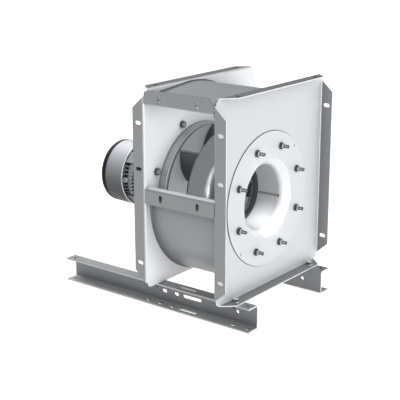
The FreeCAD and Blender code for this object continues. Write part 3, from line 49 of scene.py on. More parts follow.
UP = Vector((0.0, 0.0, 1.0))
DOWN = Vector((0.0, 0.0, -1.0))

log = logging.getLogger("smoke_fan")

Colour = tuple[float, float, float]
Point = tuple[float, float]
Profile = Sequence[Point]
CornerPoint = Point | tuple[float, float, float]
Place = tuple[Vector, Vector]
Socket = bpy.types.NodeSocket
Mesh = bmesh.types.BMesh
Vert = bmesh.types.BMVert
Face = bmesh.types.BMFace


class Body(Enum):
    """The two rigid bodies of the fan."""

    CASING = "casing"
    ROTOR = "rotor"


class Slot(Enum):
    """The record's material slots."""

    CASING_SHEET = "casing_sheet"
    RAIL_SHEET = "rail_sheet"
    MINERAL_WOOL = "mineral_wool"
    ZINC = "zinc_fasteners"
    MACHINED_STEEL = "machined_steel"
    CAST_FRAME = "cast_frame"
    COWL_PAINT = "cowl_paint"
    COPPER = "copper_winding"
    BLACK_PLASTIC = "black_plastic"


# Finishes


class ShaderGraph:
    """The node tree of one material, with short calls that add and join its nodes."""

    def __init__(self, name: str) -> None:
        """Start a material with a bare principled shader.

        Args:
            name: the material's name.
        """
        self.material = bpy.data.materials.new(name)
        self.material.use_nodes = True
        self.tree = self.material.node_tree
        self.tree.nodes.clear()
        output = self.tree.nodes.new("ShaderNodeOutputMaterial")
        self.shader = self.tree.nodes.new("ShaderNodeBsdfPrincipled")
        self.tree.links.new(self.shader.outputs["BSDF"], output.inputs["Surface"])
        self.coordinates = self.tree.nodes.new("ShaderNodeTexCoord").outputs["Object"]

    def join(self, source: Socket, target: Socket) -> None:
        """Link one socket to another."""
        self.tree.links.new(source, target)

    def stretched(self, scale: tuple[float, float, float]) -> Socket:
        """Object coordinates scaled along each axis.

        Args:
            scale: how many pattern units one metre holds along X, Y and Z.

        Returns:
            The socket of the scaled coordinates.
        """
        mapping = self.tree.nodes.new("ShaderNodeMapping")
        mapping.inputs["Scale"].default_value = scale
        self.join(self.coordinates, mapping.inputs["Vector"])
        return mapping.outputs["Vector"]

    def noise(self, scale: float, detail: float = 3.0, roughness: float = 0.5,
              vector: Socket | None = None) -> Socket:
        """A cloudy pattern.

        Args:
            scale: pattern size, in clouds per metre.
            detail: how many finer layers it has.
            roughness: how strong the finer layers are.
            vector: coordinates, when not plain object coordinates.

        Returns:
            The pattern's value socket.
        """
        node = self.tree.nodes.new("ShaderNodeTexNoise")
        node.inputs["Scale"].default_value = scale
        node.inputs["Detail"].default_value = detail
        node.inputs["Roughness"].default_value = roughness
        self.join(vector or self.coordinates, node.inputs["Vector"])
        return node.outputs["Fac"]

    def cells(self, scale: float) -> Socket:
        """A pattern of irregular cells.

        Args:
            scale: cells per metre.

        Returns:
            The socket of the distance to the nearest cell's middle.
        """
        node = self.tree.nodes.new("ShaderNodeTexVoronoi")
        node.feature = "F1"
        node.inputs["Scale"].default_value = scale
        self.join(self.coordinates, node.inputs["Vector"])
        return node.outputs["Distance"]

    def spread(self, value: Socket, low: float, high: float,
               start: float = 0.3, end: float = 0.7) -> Socket:
        """Stretch a pattern between two values.

        Args:
            value: the pattern.
            low: result at the start of the pattern's range.
            high: result at its end.
            start: pattern value taken as the start.
            end: pattern value taken as the end.

        Returns:
            The stretched value's socket.
        """
        node = self.tree.nodes.new("ShaderNodeMapRange")
        for key, number in (("From Min", start), ("From Max", end), ("To Min", low), ("To Max", high)):
            node.inputs[key].default_value = number
        self.join(value, node.inputs["Value"])
        return node.outputs["Result"]

    def mixer(self, factor: Socket, colour: Colour) -> bpy.types.Node:
        """A mix of colours that turns to the given one where a pattern is high.

        Args:
            factor: the pattern.
            colour: the colour where it is 1.

        Returns:
            The mix, its other colour not yet set.
        """
        node = self.tree.nodes.new("ShaderNodeMix")
        node.data_type = "RGBA"
        node.inputs["B"].default_value = (*colour, 1.0)
        self.join(factor, node.inputs["Factor"])
        return node

    def blend(self, factor: Socket, first: Colour, second: Colour) -> Socket:
        """Mix two colours by a pattern.

        Args:
            factor: the pattern.
            first: colour where the pattern is 0.
            second: colour where it is 1.

        Returns:
            The mixed colour's socket.
        """
        node = self.mixer(factor, second)
        node.inputs["A"].default_value = (*first, 1.0)
        return node.outputs["Result"]

    def tint(self, base: Socket, factor: Socket, colour: Colour) -> Socket:
        """Lay a colour over another where a pattern is high.

        Args:
            base: the colour under it.
            factor: the pattern.
            colour: the colour laid over.

        Returns:
            The mixed colour's socket.
        """
        node = self.mixer(factor, colour)
        self.join(base, node.inputs["A"])
        return node.outputs["Result"]

    def corners(self, reach: float, amount: float) -> Socket:
        """How much painted shade falls where other surfaces stand close by, like ambient occlusion.

        Args:
            reach: how far away in metres a surface still counts.
            amount: the value in the tightest corner.

        Returns:
            The value's socket.
        """
        # Painted shade: ambient occlusion darkens the colour in corners and between parts.
        node = self.tree.nodes.new("ShaderNodeAmbientOcclusion")
        node.samples = 12
        node.inputs["Distance"].default_value = reach
        tight, open_air = 0.25, 0.92
        return self.spread(node.outputs["AO"], amount, 0.0, tight, open_air)

    def rise(self, low: float, high: float) -> Socket:
        """How high a point of the piece lies.

        Args:
            low: height in metres where the value is 0.
            high: height in metres where it is 1.

        Returns:
            The value's socket.
        """
        split = self.tree.nodes.new("ShaderNodeSeparateXYZ")
        self.join(self.coordinates, split.inputs["Vector"])
        return self.spread(split.outputs["Z"], 0.0, 1.0, low, high)

    def set_colour(self, colour: Socket) -> None:
        """Use a colour for the surface."""
        self.join(colour, self.shader.inputs["Base Color"])

    def set_gloss(self, pattern: Socket, sharpest: float, dullest: float) -> None:
        """Let the gloss drift with a pattern.

        Args:
            pattern: the pattern.
            sharpest: roughness where the pattern is low.
            dullest: roughness where it is high.
        """
        self.join(self.spread(pattern, sharpest, dullest), self.shader.inputs["Roughness"])

    def relief(self, height: Socket, strength: float, depth: float) -> None:
        """Give the surface a fine relief.

        Args:
            height: the relief's pattern.
            strength: how strongly it shows.
            depth: its depth in metres.
        """
        node = self.tree.nodes.new("ShaderNodeBump")
        node.inputs["Strength"].default_value = strength
        node.inputs["Distance"].default_value = depth
        self.join(height, node.inputs["Height"])
        self.join(node.outputs["Normal"], self.shader.inputs["Normal"])


def shade(colour: Colour, amount: float) -> Colour:
    """A colour made lighter or darker by a factor."""
    return tuple(min(1.0, part * amount) for part in colour)


@dataclass(frozen=True)
class Finish:
    """A surface finish: a base colour and gloss, with a pattern that each kind adds."""

    name: str
    colour: Colour
    roughness: float
    metallic: float = 0.0
    unevenness: float = 0.04

    made: ClassVar[dict[str, bpy.types.Material]] = {}

    def material(self) -> bpy.types.Material:
        """The finish as a material, built the first time it is asked for.

        Returns:
            The material.
        """
        if self.name not in Finish.made:
            graph = ShaderGraph(self.name)
            graph.shader.inputs["Metallic"].default_value = self.metallic
            graph.shader.inputs["Roughness"].default_value = self.roughness
            self.paint(graph)
            Finish.made[self.name] = graph.material
        return Finish.made[self.name]

    def clouds(self, graph: ShaderGraph, scale: float, detail: float = 3.0) -> Socket:
        """The base colour, a little lighter and darker in soft clouds.

        Args:
            graph: the material's node tree.
            scale: pattern size, in clouds per metre.
            detail: how many finer layers the clouds have.

        Returns:
            The colour's socket.
        """
        pattern = graph.spread(graph.noise(scale, detail), 0.0, 1.0)
        darker, lighter = shade(self.colour, 1 - self.unevenness), shade(self.colour, 1 + self.unevenness)
        return graph.blend(pattern, darker, lighter)

    def drift(self, graph: ShaderGraph, pattern: Socket, less: float, more: float) -> None:
        """Let the gloss drift round the finish's roughness.

        Args:
            graph: the material's node tree.
            pattern: the pattern that it drifts with.
            less: how far the roughness falls where the pattern is low.
            more: how far it rises where the pattern is high.
        """
        graph.set_gloss(pattern, self.roughness - less, self.roughness + more)

    def paint(self, graph: ShaderGraph) -> None:
        """Colour the surface with large soft clouds.

        Args:
            graph: the material's node tree.
        """
        graph.set_colour(self.clouds(graph, 7.0, 4.0))


@dataclass(frozen=True)
class CoatedSheet(Finish):
    """Light grey coated steel sheet with a faint grain of the metal under it."""

    grain: float = 900.0
    sheen_drift: float = 0.03
    painted_shade: float = 0.5
    painted_shade_reach: float = 0.05

    def paint(self, graph: ShaderGraph) -> None:
        """Add soft clouds, faint cells of the zinc layer, painted shade in corners and a fine satin grain.

        Args:
            graph: the material's node tree.
        """
        base = self.clouds(graph, 5.0)
        cells = graph.spread(graph.cells(70.0), 0.0, 0.03, 0.0, 0.9)
        base = graph.tint(base, cells, shade(self.colour, 0.92))
        # Painted shade: the colour turns towards a near-black copy in corners and close to other parts.
        if self.painted_shade > 0:
            corners = graph.corners(self.painted_shade_reach, self.painted_shade)
            base = graph.tint(base, corners, shade(self.colour, 0.12))
        graph.set_colour(base)
        self.drift(graph, graph.noise(16.0), self.sheen_drift, self.sheen_drift)
        graph.relief(graph.noise(self.grain, 2.0), 0.05, 0.00003)


@dataclass(frozen=True)
class SpunSheet(Finish):
    """Sheet pressed over a turning former, with faint rings round the shaft line."""

    rings_per_metre: float = 700.0

    def paint(self, graph: ShaderGraph) -> None:
        """Add the former's faint rings and a satin drift of the gloss.

        Args:
            graph: the material's node tree.
        """
        graph.set_colour(self.clouds(graph, 6.0))
        rings = graph.noise(1.0, 2.0, 0.5, graph.stretched((3.0, self.rings_per_metre, 3.0)))
        self.drift(graph, rings, 0.004, 0.006)
        graph.relief(rings, 0.004, 0.000001)


@dataclass(frozen=True)
class CutEdge(Finish):
    """The bright sheared edge of a sheet, with fine marks across it."""

    def paint(self, graph: ShaderGraph) -> None:
        """Add streaks of the shear and a slightly darker broken band.

        Args:
            graph: the material's node tree.
        """
        streaks = graph.noise(1.0, 3.0, 0.6, graph.stretched((420.0, 90.0, 420.0)))
        band = graph.spread(streaks, 0.0, 1.0, 0.35, 0.65)
        base = graph.blend(band, shade(self.colour, 0.88), shade(self.colour, 1.05))
        graph.set_colour(base)
        self.drift(graph, streaks, 0.08, 0.12)
        graph.relief(streaks, 0.25, 0.0001)


@dataclass(frozen=True)
class ZincPlate(Finish):
    """Bright zinc plating on turned and cold-formed fasteners."""

    def paint(self, graph: ShaderGraph) -> None:
        """Add the faint bluish and yellowish drift of the plating and small handling marks.

        Args:
            graph: the material's node tree.
        """
        drift = graph.spread(graph.noise(60.0, 3.0), 0.0, 1.0)
        cool = (self.colour[0] * 0.96, self.colour[1] * 0.99, self.colour[2] * 1.03)
        warm = (self.colour[0] * 1.04, self.colour[1] * 1.01, self.colour[2] * 0.93)
        base = graph.blend(drift, cool, warm)
        marks = graph.spread(graph.noise(420.0, 2.0), 0.0, 0.35, 0.58, 0.72)
        graph.set_colour(graph.tint(base, marks, shade(self.colour, 0.6)))
        self.drift(graph, graph.noise(180.0), 0.07, 0.1)


@dataclass(frozen=True)
class MachinedSteel(Finish):
    """Turned steel with fine rings along the shaft line."""

    rings_per_metre: float = 2600.0

    def paint(self, graph: ShaderGraph) -> None:
        """Add turning marks and a thin film of oil.

        Args:
            graph: the material's node tree.
        """
        rings = graph.noise(1.0, 2.0, 0.5, graph.stretched((40.0, self.rings_per_metre, 40.0)))
        base = graph.blend(graph.spread(rings, 0.0, 1.0), shade(self.colour, 0.85), shade(self.colour, 1.1))
        film = graph.spread(graph.noise(26.0, 4.0), 0.0, 0.35, 0.45, 0.75)
        graph.set_colour(graph.tint(base, film, (0.30, 0.26, 0.20)))
        self.drift(graph, rings, 0.05, 0.12)
        graph.relief(rings, 0.15, 0.00005)


@dataclass(frozen=True)
class PaintedCasting(Finish):
    """Grey paint over a sand or die casting, with its slight orange peel."""

    def paint(self, graph: ShaderGraph) -> None:
        """Add the casting's waviness, the paint's fine peel and a little dust.

        Args:
            graph: the material's node tree.
        """
        base = self.clouds(graph, 14.0, 4.0)
        dust = graph.spread(graph.noise(90.0, 5.0, 0.65), 0.0, 0.16, 0.55, 0.8)
        graph.set_colour(graph.tint(base, dust, shade(self.colour, 1.35)))
        self.drift(graph, graph.noise(45.0), 0.06, 0.08)
        graph.relief(graph.noise(520.0, 3.0), 0.22, 0.00012)


@dataclass(frozen=True)
class SmoothPaint(Finish):
    """Smooth grey paint over a pressing, with painted shade that deepens towards its underside."""

    painted_shade: float = 0.0
    gloss: float = 0.15
    painted_shade_low: float = 0.240
    painted_shade_high: float = 0.400

    def paint(self, graph: ShaderGraph) -> None:
        """Add the paint's soft drift of tone and gloss and a very fine peel.

        Args:
            graph: the material's node tree.
        """
        base = self.clouds(graph, 9.0)
        # Painted shade: the colour darkens towards a near-black copy below the painted shade heights.
        if self.painted_shade > 0:
            height = graph.rise(self.painted_shade_low, self.painted_shade_high)
            low = graph.spread(height, self.painted_shade, 0.0, 0.0, 1.0)
            base = graph.tint(base, low, shade(self.colour, 0.06))
        graph.set_colour(base)
        graph.shader.inputs["Specular IOR Level"].default_value = self.gloss
        self.drift(graph, graph.noise(40.0), 0.03, 0.05)
        graph.relief(graph.noise(650.0, 2.0), 0.08, 0.00003)


@dataclass(frozen=True)
class VarnishedWire(Finish):
    """Tightly laid enamelled copper wire under varnish."""

    def paint(self, graph: ShaderGraph) -> None:
        """Add fine strands laid round the shaft and darker varnish between them.

        Args:
            graph: the material's node tree.
        """
        strands = graph.noise(1.0, 2.0, 0.5, graph.stretched((160.0, 900.0, 160.0)))
        band = graph.spread(strands, 0.0, 1.0, 0.35, 0.6)
        graph.set_colour(graph.blend(band, shade(self.colour, 0.35), self.colour))
        graph.relief(strands, 0.6, 0.0004)


@dataclass(frozen=True)
class MineralWool(Finish):
    """Pressed mineral fibre."""

    def paint(self, graph: ShaderGraph) -> None:
        """Add tangled fibres and darker binder spots.

        Args:
            graph: the material's node tree.
        """
        fibres = graph.noise(1.0, 5.0, 0.7, graph.stretched((300.0, 60.0, 300.0)))
        base = graph.blend(graph.spread(fibres, 0.0, 1.0), shade(self.colour, 0.6), shade(self.colour, 1.2))
        graph.set_colour(base)
        graph.relief(fibres, 0.8, 0.0012)


@dataclass(frozen=True)
class MouldedPlastic(Finish):
    """Black moulded plastic with a fine spark-eroded texture."""

    def paint(self, graph: ShaderGraph) -> None:
        """Add the mould's texture and faint flow marks.

        Args:
            graph: the material's node tree.
        """
        flow = graph.spread(graph.noise(22.0, 3.0), 0.0, 1.0)
        base = graph.blend(flow, shade(self.colour, 0.85), shade(self.colour, 1.25))
        graph.set_colour(base)
        self.drift(graph, graph.noise(300.0, 2.0), 0.05, 0.08)
        graph.relief(graph.noise(1400.0, 2.0), 0.3, 0.00008)


@dataclass(frozen=True)
class WeldBead(Finish):
    """A brushed weld seam, slightly darker than the sheet."""

    def paint(self, graph: ShaderGraph) -> None:
        """Add heat tint and the ripples of the bead.

        Args:
            graph: the material's node tree.
        """
        tint = graph.spread(graph.noise(120.0, 4.0), 0.0, 1.0)
        graph.set_colour(graph.blend(tint, shade(self.colour, 0.72), shade(self.colour, 1.1)))
        graph.relief(graph.noise(700.0, 2.0), 0.5, 0.0003)


@dataclass(frozen=True)
class StudioPaper(Finish):
    """The pale floor, lit from below like a light table, with the faintest mottling."""

    glow: float = 0.95

    def paint(self, graph: ShaderGraph) -> None:
        """Add an almost invisible mottling and the light from below.

        Args:
            graph: the material's node tree.
        """
        mottle = graph.spread(graph.noise(3.0, 2.0), 0.0, 1.0)
        graph.set_colour(graph.blend(mottle, shade(self.colour, 0.995), self.colour))
        graph.shader.inputs["Emission Color"].default_value = (1.0, 1.0, 1.0, 1.0)
        graph.shader.inputs["Emission Strength"].default_value = self.glow


# The painted_shade fields set how much painted shade darkens corners and undersides.
CASING_SHEET = CoatedSheet("casing_sheet", (0.262, 0.271, 0.279), 0.42, 0.12, 0.012, painted_shade=0.7,
                           painted_shade_reach=0.08)
# Painted light: a lighter copy of the casing sheet for the rear plate.
LIT_REAR_SHEET = CoatedSheet("rear_plate_sheet_painted_light", (0.352, 0.360, 0.368), 0.42, 0.12, 0.012, painted_shade=1.0,
                         painted_shade_reach=0.11)
# Painted shade: a darker copy of the sheet for sideways and downward faces and the braces.
SHADED_FLANGE_SHEET = CoatedSheet("folded_flange_painted_shade", (0.244, 0.253, 0.260), 0.46, 0.12, 0.012)
# Painted shade: a much darker copy of the sheet for the flanges' upward faces.
SHADED_TOP_SHEET = CoatedSheet("flange_top_painted_shade", (0.118, 0.123, 0.127), 0.52, 0.10, 0.03, painted_shade=0.3)
# Painted highlight: a lighter, glossier copy of the sheet for the bends.
BEND_HIGHLIGHT_SHEET = CoatedSheet("bend_painted_highlight", (0.30, 0.31, 0.32), 0.32, 0.20, 0.02)
# Painted highlight: a near-white copy of the sheet for the middle brace's upward faces.
LIT_LIP_SHEET = CoatedSheet("brace_lip", (0.88, 0.89, 0.90), 0.34, 0.10, 0.02, painted_shade=0.1)
WRAP_SHEET = CoatedSheet("scroll_sheet", (0.243, 0.252, 0.260), 0.40, 0.20, 0.015, painted_shade=1.0,
                         painted_shade_reach=0.11)
RAIL_SHEET = CoatedSheet("rail_sheet", (0.252, 0.261, 0.269), 0.44, 0.20, 0.015, painted_shade=0.2)
# Painted shade: a darker copy of the rail sheet for its sideways faces.
SHADED_RAIL_WEB = CoatedSheet("rail_web_painted_shade", (0.196, 0.204, 0.212), 0.46, 0.15, 0.02)
# Painted light: a lighter copy of the rail sheet for the low upward ledges.
LIT_RAIL_LEDGE = CoatedSheet("rail_ledge_painted_light", (0.345, 0.354, 0.363), 0.46, 0.15, 0.02)
# Painted shade: the impeller's sheets are darkened to stand for the shade inside the casing.
SHADED_COVER_SHEET = CoatedSheet("cover_ring_painted_shade", (0.178, 0.186, 0.194), 0.25, 0.60, 0.010, painted_shade=0.3)
SHADED_DISC_SHEET = CoatedSheet("impeller_disc_painted_shade", (0.140, 0.147, 0.153), 0.34, 0.20, 0.010)
SHADED_BLADE_SHEET = CoatedSheet("blade_painted_shade", (0.056, 0.058, 0.061), 0.42, 0.20, 0.03)
# Painted shade: near black for the deepest places, the disc's middle and rim, the hub and the top brace's
# upward faces.
DEEP_PAINTED_SHADE = CoatedSheet("deep_painted_shade", (0.022, 0.023, 0.025), 0.50, 0.10, 0.05)
SHADED_BLADE_EDGE = CutEdge("blade_edge_painted_shade", (0.17, 0.175, 0.18), 0.42, 0.30)
PAN_SHEET = CoatedSheet("pan_sheet", (0.40, 0.41, 0.42), 0.38, 0.25, 0.015, painted_shade=0.3, painted_shade_reach=0.02)
# Painted shade: a darker copy of the pan sheet for its front face.
SHADED_PAN_FACE = CoatedSheet("pan_face_painted_shade", (0.140, 0.146, 0.152), 0.46, 0.15, 0.02)
NOZZLE_FLANGE = CoatedSheet("nozzle_flange", (0.276, 0.285, 0.292), 0.40, 0.12, 0.010)
# Spinning rings, and painted light: the mouth and throat are lighter than the flange of the same sheet.
SPUN_AND_LIT_NOZZLE_SHEET = SpunSheet("nozzle_spun_sheet_painted_light", (0.42, 0.43, 0.44), 0.30, 0.15, 0.01)
SHEARED_EDGE = CutEdge("sheared_edge", (0.40, 0.41, 0.42), 0.36, 0.30)
# Painted shade: near black for the walls of holes, the scroll sheet's edges and the middle brace's strip.
PAINTED_SHADE_DARK = CutEdge("dark_painted_shade", (0.060, 0.062, 0.065), 0.50, 0.30)
# Painted shade: darkened cut edges of the braces and of the nozzle's rim and holes.
SHADED_TRIMMED_EDGE = CutEdge("trimmed_edge_painted_shade", (0.10, 0.10, 0.105), 0.50, 0.30)
# Painted shade: a dark copy of the zinc for fastener sides, threads, washers and rivets.
SHADED_STEEL = ZincPlate("steel_painted_shade", (0.06, 0.062, 0.066), 0.46, 0.50)
# Painted highlight: a light copy of the zinc for the tops of the base bolts' heads.
HIGHLIGHT_HEAD = ZincPlate("bolt_head_painted_highlight", (0.62, 0.63, 0.64), 0.36, 0.20)
HEAD_ZINC = ZincPlate("bolt_head_zinc", (0.13, 0.134, 0.139), 0.40, 0.25)
FACED_ZINC = ZincPlate("faced_zinc", (0.30, 0.308, 0.315), 0.36, 0.25)
ZINC = ZincPlate("bright_zinc", (0.20, 0.205, 0.21), 0.30, 0.95)
TURNED_STEEL = MachinedSteel("turned_steel", (0.52, 0.52, 0.53), 0.30, 0.9)
CAST_PAINT = PaintedCasting("casting_paint", (0.110, 0.116, 0.124), 0.46, 0.10, 0.05)
# Painted shade: near-black paint for the grooves between the fins.
SHADED_GROOVE_PAINT = PaintedCasting("groove_painted_shade", (0.014, 0.015, 0.017), 0.60, 0.05, 0.05)
# Painted shade: the cowl's paint darkens towards its underside.
COWL_PAINT = SmoothPaint("cowl_paint", (0.236, 0.246, 0.264), 0.38, 0.05, 0.012, painted_shade=1.0)
# Painted shade: near black for the cowl's rear rounding and face.
SHADED_COWL_REAR = SmoothPaint("cowl_rear_painted_shade", (0.006, 0.0065, 0.007), 0.60, 0.10, 0.02)
COPPER = VarnishedWire("varnished_copper", (0.55, 0.24, 0.11), 0.35, 0.6)
WOOL = MineralWool("mineral_wool", (0.42, 0.37, 0.22), 0.95)
BLACK_PLASTIC = MouldedPlastic("black_plastic", (0.022, 0.022, 0.024), 0.48)
WELD = WeldBead("weld_seam", (0.075, 0.078, 0.082), 0.45, 0.4)
SEALANT = WeldBead("seam_sealant", (0.035, 0.037, 0.040), 0.60, 0.0)
ROLLED_RIM = SmoothPaint("rolled_rim", (0.270, 0.280, 0.295), 0.34, 0.20, 0.01)
# Painted reflection: the dark line along the throat, laid on as a thin bead.
PAINTED_REFLECTION_LINE = WeldBead("throat_painted_reflection_line", (0.27, 0.278, 0.286), 0.45, 0.3)
FLOOR_PAPER = StudioPaper("studio_paper", (0.22, 0.22, 0.22), 0.9)


@dataclass(frozen=True)
class SheetDress:
    """The finishes of a folded sheet, by the way that each of its faces looks.

    A face that looks up takes the finish of the upward faces above the tone split height, a height in
    metres, and that of the downward ones below it. The finishes are lit and shaded copies of one sheet:
    painted light and painted shade by the way a face looks.
    """

    along_shaft: Finish
    sideways: Finish
    upward: Finish
    downward: Finish
    bend: Finish
    edge: Finish = SHEARED_EDGE
    hole: Finish = PAINTED_SHADE_DARK
    tone_split_height: float = 0.1

    FACE_INDEX: ClassVar[int] = 0
    EDGE_INDEX: ClassVar[int] = 1
    HOLE_INDEX: ClassVar[int] = 2
    SIDE_INDEX: ClassVar[int] = 3
    TOP_INDEX: ClassVar[int] = 4
    LOWER_INDEX: ClassVar[int] = 5
    BEND_INDEX: ClassVar[int] = 6
    SQUARE_ON: ClassVar[float] = 0.985

    def finishes(self) -> tuple[Finish, ...]:
        """The finishes in the order of the mesh's material indices."""
        return (self.along_shaft, self.edge, self.hole, self.sideways, self.upward, self.downward,
                self.bend)

    def index_of(self, normal: Vector, height: float) -> int:
        """The material index of a broad face.

        Args:
            normal: the way that the face looks.
            height: how high the face lies in metres.

        Returns:
            The index.
        """
        # Painted light and shade: the way a face looks picks a lighter or darker copy of the sheet.
        if max(abs(part) for part in normal) < self.SQUARE_ON:
            return self.BEND_INDEX
        if abs(normal.y) > self.SQUARE_ON:
            return self.FACE_INDEX
        if abs(normal.x) > self.SQUARE_ON:
            return self.SIDE_INDEX
        return self.TOP_INDEX if normal.z > 0 and height > self.tone_split_height else self.LOWER_INDEX


PLATE_DRESS = SheetDress(CASING_SHEET, SHADED_FLANGE_SHEET, SHADED_TOP_SHEET, SHADED_FLANGE_SHEET, BEND_HIGHLIGHT_SHEET)
REAR_DRESS = SheetDress(LIT_REAR_SHEET, SHADED_FLANGE_SHEET, SHADED_TOP_SHEET, SHADED_FLANGE_SHEET, BEND_HIGHLIGHT_SHEET)
BRACE_DRESS = SheetDress(SHADED_FLANGE_SHEET, SHADED_FLANGE_SHEET, LIT_LIP_SHEET, SHADED_FLANGE_SHEET, SHADED_FLANGE_SHEET,
                         SHADED_TRIMMED_EDGE)
TOP_BRACE_DRESS = SheetDress(SHADED_FLANGE_SHEET, SHADED_FLANGE_SHEET, DEEP_PAINTED_SHADE, SHADED_FLANGE_SHEET, SHADED_FLANGE_SHEET,
                             SHADED_TRIMMED_EDGE)
RAIL_DRESS = SheetDress(RAIL_SHEET, SHADED_RAIL_WEB, RAIL_SHEET, LIT_RAIL_LEDGE, RAIL_SHEET, tone_split_height=0.04)
THICK_DRESS = SheetDress(*[CASING_SHEET] * 5)


# Mesh building


def shaft_point(radius: float, angle: float, y: float, shaft: Vector) -> Vector:
    """A point round the shaft line.

    Args:
        radius: distance from the shaft line.
        angle: angle in radians, counted from +X towards +Z.
        y: place along the shaft.
        shaft: a point on the shaft line.

    Returns:
        The point in metres.
    """
    return Vector((shaft.x + radius * math.cos(angle), y, shaft.z + radius * math.sin(angle)))


def soften(points: Sequence[CornerPoint], steps: int = 6) -> list[Point]:
    """Round the corners of a closed profile.

    Args:
        points: corners as (radius, y) or (radius, y, corner radius), in order.
        steps: facets of each rounded corner.

    Returns:
        The profile with its corners rounded.
    """
    result: list[Point] = []
    count = len(points)
    for index, point in enumerate(points):
        here = Vector((point[0], point[1]))
        rounding = point[2] if len(point) > 2 else 0.0
        before = Vector(points[index - 1][:2]) - here
        after = Vector(points[(index + 1) % count][:2]) - here
        if rounding <= 0 or before.length < 1e-9 or after.length < 1e-9:
            result.append((here.x, here.y))
            continue
        half = before.angle(after) / 2
        reach = min(rounding / math.tan(half), before.length * 0.49, after.length * 0.49)
        radius = reach * math.tan(half)
        centre = here + (before.normalized() + after.normalized()).normalized() * (radius / math.sin(half))
        start = here + before.normalized() * reach - centre
        end = here + after.normalized() * reach - centre
        sweep = start.angle_signed(end)
        for step in range(steps + 1):
            turned = start.copy()
            turned.rotate(Matrix.Rotation(-sweep * step / steps, 2))
            result.append((centre.x + turned.x, centre.y + turned.y))
    return result


def vert_ring(mesh: Mesh, radius: float, y: float, centre: Vector, count: int) -> list[Vert]:
    """A ring of new points across the shaft.

    Args:
        mesh: the mesh that gets the points.
        radius: the ring's radius.
        y: place along the shaft.
        centre: a point on the ring's axis.
        count: how many points.

    Returns:
        The ring's points in order.
    """
    return [mesh.verts.new(shaft_point(radius, 2 * math.pi * step / count, y, centre))
            for step in range(count)]


def lathe(mesh: Mesh, profile: Profile, shaft: Vector,
          segments: int = 144, closed: bool = True) -> None:
    """Turn a profile round the shaft line.

    Args:
        mesh: the mesh that gets the faces.
        profile: (radius, y) points.
        shaft: a point on the shaft line.
        segments: facets round the shaft.
        closed: whether the profile's last point joins its first.
    """
    rings = [vert_ring(mesh, radius, y, shaft, segments if radius > 1e-6 else 1) for radius, y in profile]
    pairs = len(rings) if closed else len(rings) - 1
    for index in range(pairs):
        first, second = rings[index], rings[(index + 1) % len(rings)]
        for step in range(segments):
            following = (step + 1) % segments
            corners = [first[step % len(first)], first[following % len(first)],
                       second[following % len(second)], second[step % len(second)]]
            kept = [corner for place, corner in enumerate(corners) if corner not in corners[:place]]
            if len(kept) > 2:
                mesh.faces.new(kept)


def arc_line(centre: Point, radius: float, start: float, end: float, steps: int) -> list[Point]:
    """Points along an arc, both of its ends among them.

    Args:
        centre: the arc's centre.
        radius: its radius.
        start: angle of the first point, in degrees.
        end: angle of the last point, in degrees.
        steps: facets between the two.

    Returns:
        The points in order.
    """
    across, along = centre
    angles = [math.radians(start + (end - start) * step / steps) for step in range(steps + 1)]
    return [(across + radius * math.cos(angle), along + radius * math.sin(angle)) for angle in angles]


def strip(mesh: Mesh, first: Sequence[Vert], second: Sequence[Vert], finish: int = 0) -> None:
    """Lay faces between two rows of points.

    Args:
        mesh: the mesh that gets the faces.
        first: the first row.
        second: the second row, with the same number of points.
        finish: the faces' material index.
    """
    for index in range(len(first) - 1):
        face = mesh.faces.new((first[index], first[index + 1], second[index + 1], second[index]))
        face.material_index = finish


def skin_tube(mesh: Mesh, rows: Sequence[Sequence[Vert]]) -> None:
    """Skin a closed tube through rows of points, and cap both of its ends.

    Args:
        mesh: the mesh that gets the faces.
        rows: the tube's sections in order, all with the same number of points.
    """
    for first, second in zip(rows, rows[1:]):
        for index in range(len(first)):
            mesh.faces.new((first[index - 1], first[index], second[index], second[index - 1]))
    mesh.faces.new(rows[0])
    mesh.faces.new(list(reversed(rows[-1])))


def cut_across(mesh: Mesh, point: Vector, normal: Vector) -> None:
    """Cut the faces of a mesh along a plane, and keep both sides."""
    everything = mesh.verts[:] + mesh.edges[:] + mesh.faces[:]
    bmesh.ops.bisect_plane(mesh, geom=everything, dist=1e-7, plane_co=point, plane_no=normal)


def place_object(name: str, data: bpy.types.ID) -> bpy.types.Object:
    """A new object in the scene.

    Args:
        name: its name.
        data: its mesh, light or camera.

    Returns:
        The object.
    """
    item = bpy.data.objects.new(name, data)
    bpy.context.scene.collection.objects.link(item)
    return item


def round_point(radius: float, angle: float, level: float) -> Vector:
    """A point round the local +Z axis."""
    return Vector((radius * math.cos(angle), radius * math.sin(angle), level))


def placed(point: Vector, direction: Vector) -> Matrix:
    """The matrix that stands a local +Z piece on a point, along a direction."""
    return Matrix.Translation(point) @ direction.to_track_quat("Z", "Y").to_matrix().to_4x4()


def spin_profile(mesh: Mesh, profile: Profile, matrix: Matrix,
                 segments: int = 32, closed: bool = True) -> None:
    """Turn a small (radius, height) profile round a local +Z axis.

    Args:
        mesh: the mesh that gets the faces.
        profile: (radius, height) points.
        matrix: where the local axis stands.
        segments: facets round the axis.
        closed: whether the last point joins the first.
    """
    local = bmesh.new()
    lathe(local, profile, Vector((0.0, 0.0, 0.0)), segments, closed)
    upright = Matrix(((1, 0, 0, 0), (0, 0, -1, 0), (0, 1, 0, 0), (0, 0, 0, 1)))
    bmesh.ops.transform(local, matrix=matrix @ upright, verts=local.verts)
    merge(mesh, local)


def merge(mesh: Mesh, other: Mesh) -> None:
    """Add a second mesh to the first and free it.

    Args:
        mesh: the mesh that gets the faces.
        other: the mesh that gives them.
    """
    carrier = bpy.data.meshes.new("carrier")
    other.to_mesh(carrier)
    other.free()
    mesh.from_mesh(carrier)
    bpy.data.meshes.remove(carrier)


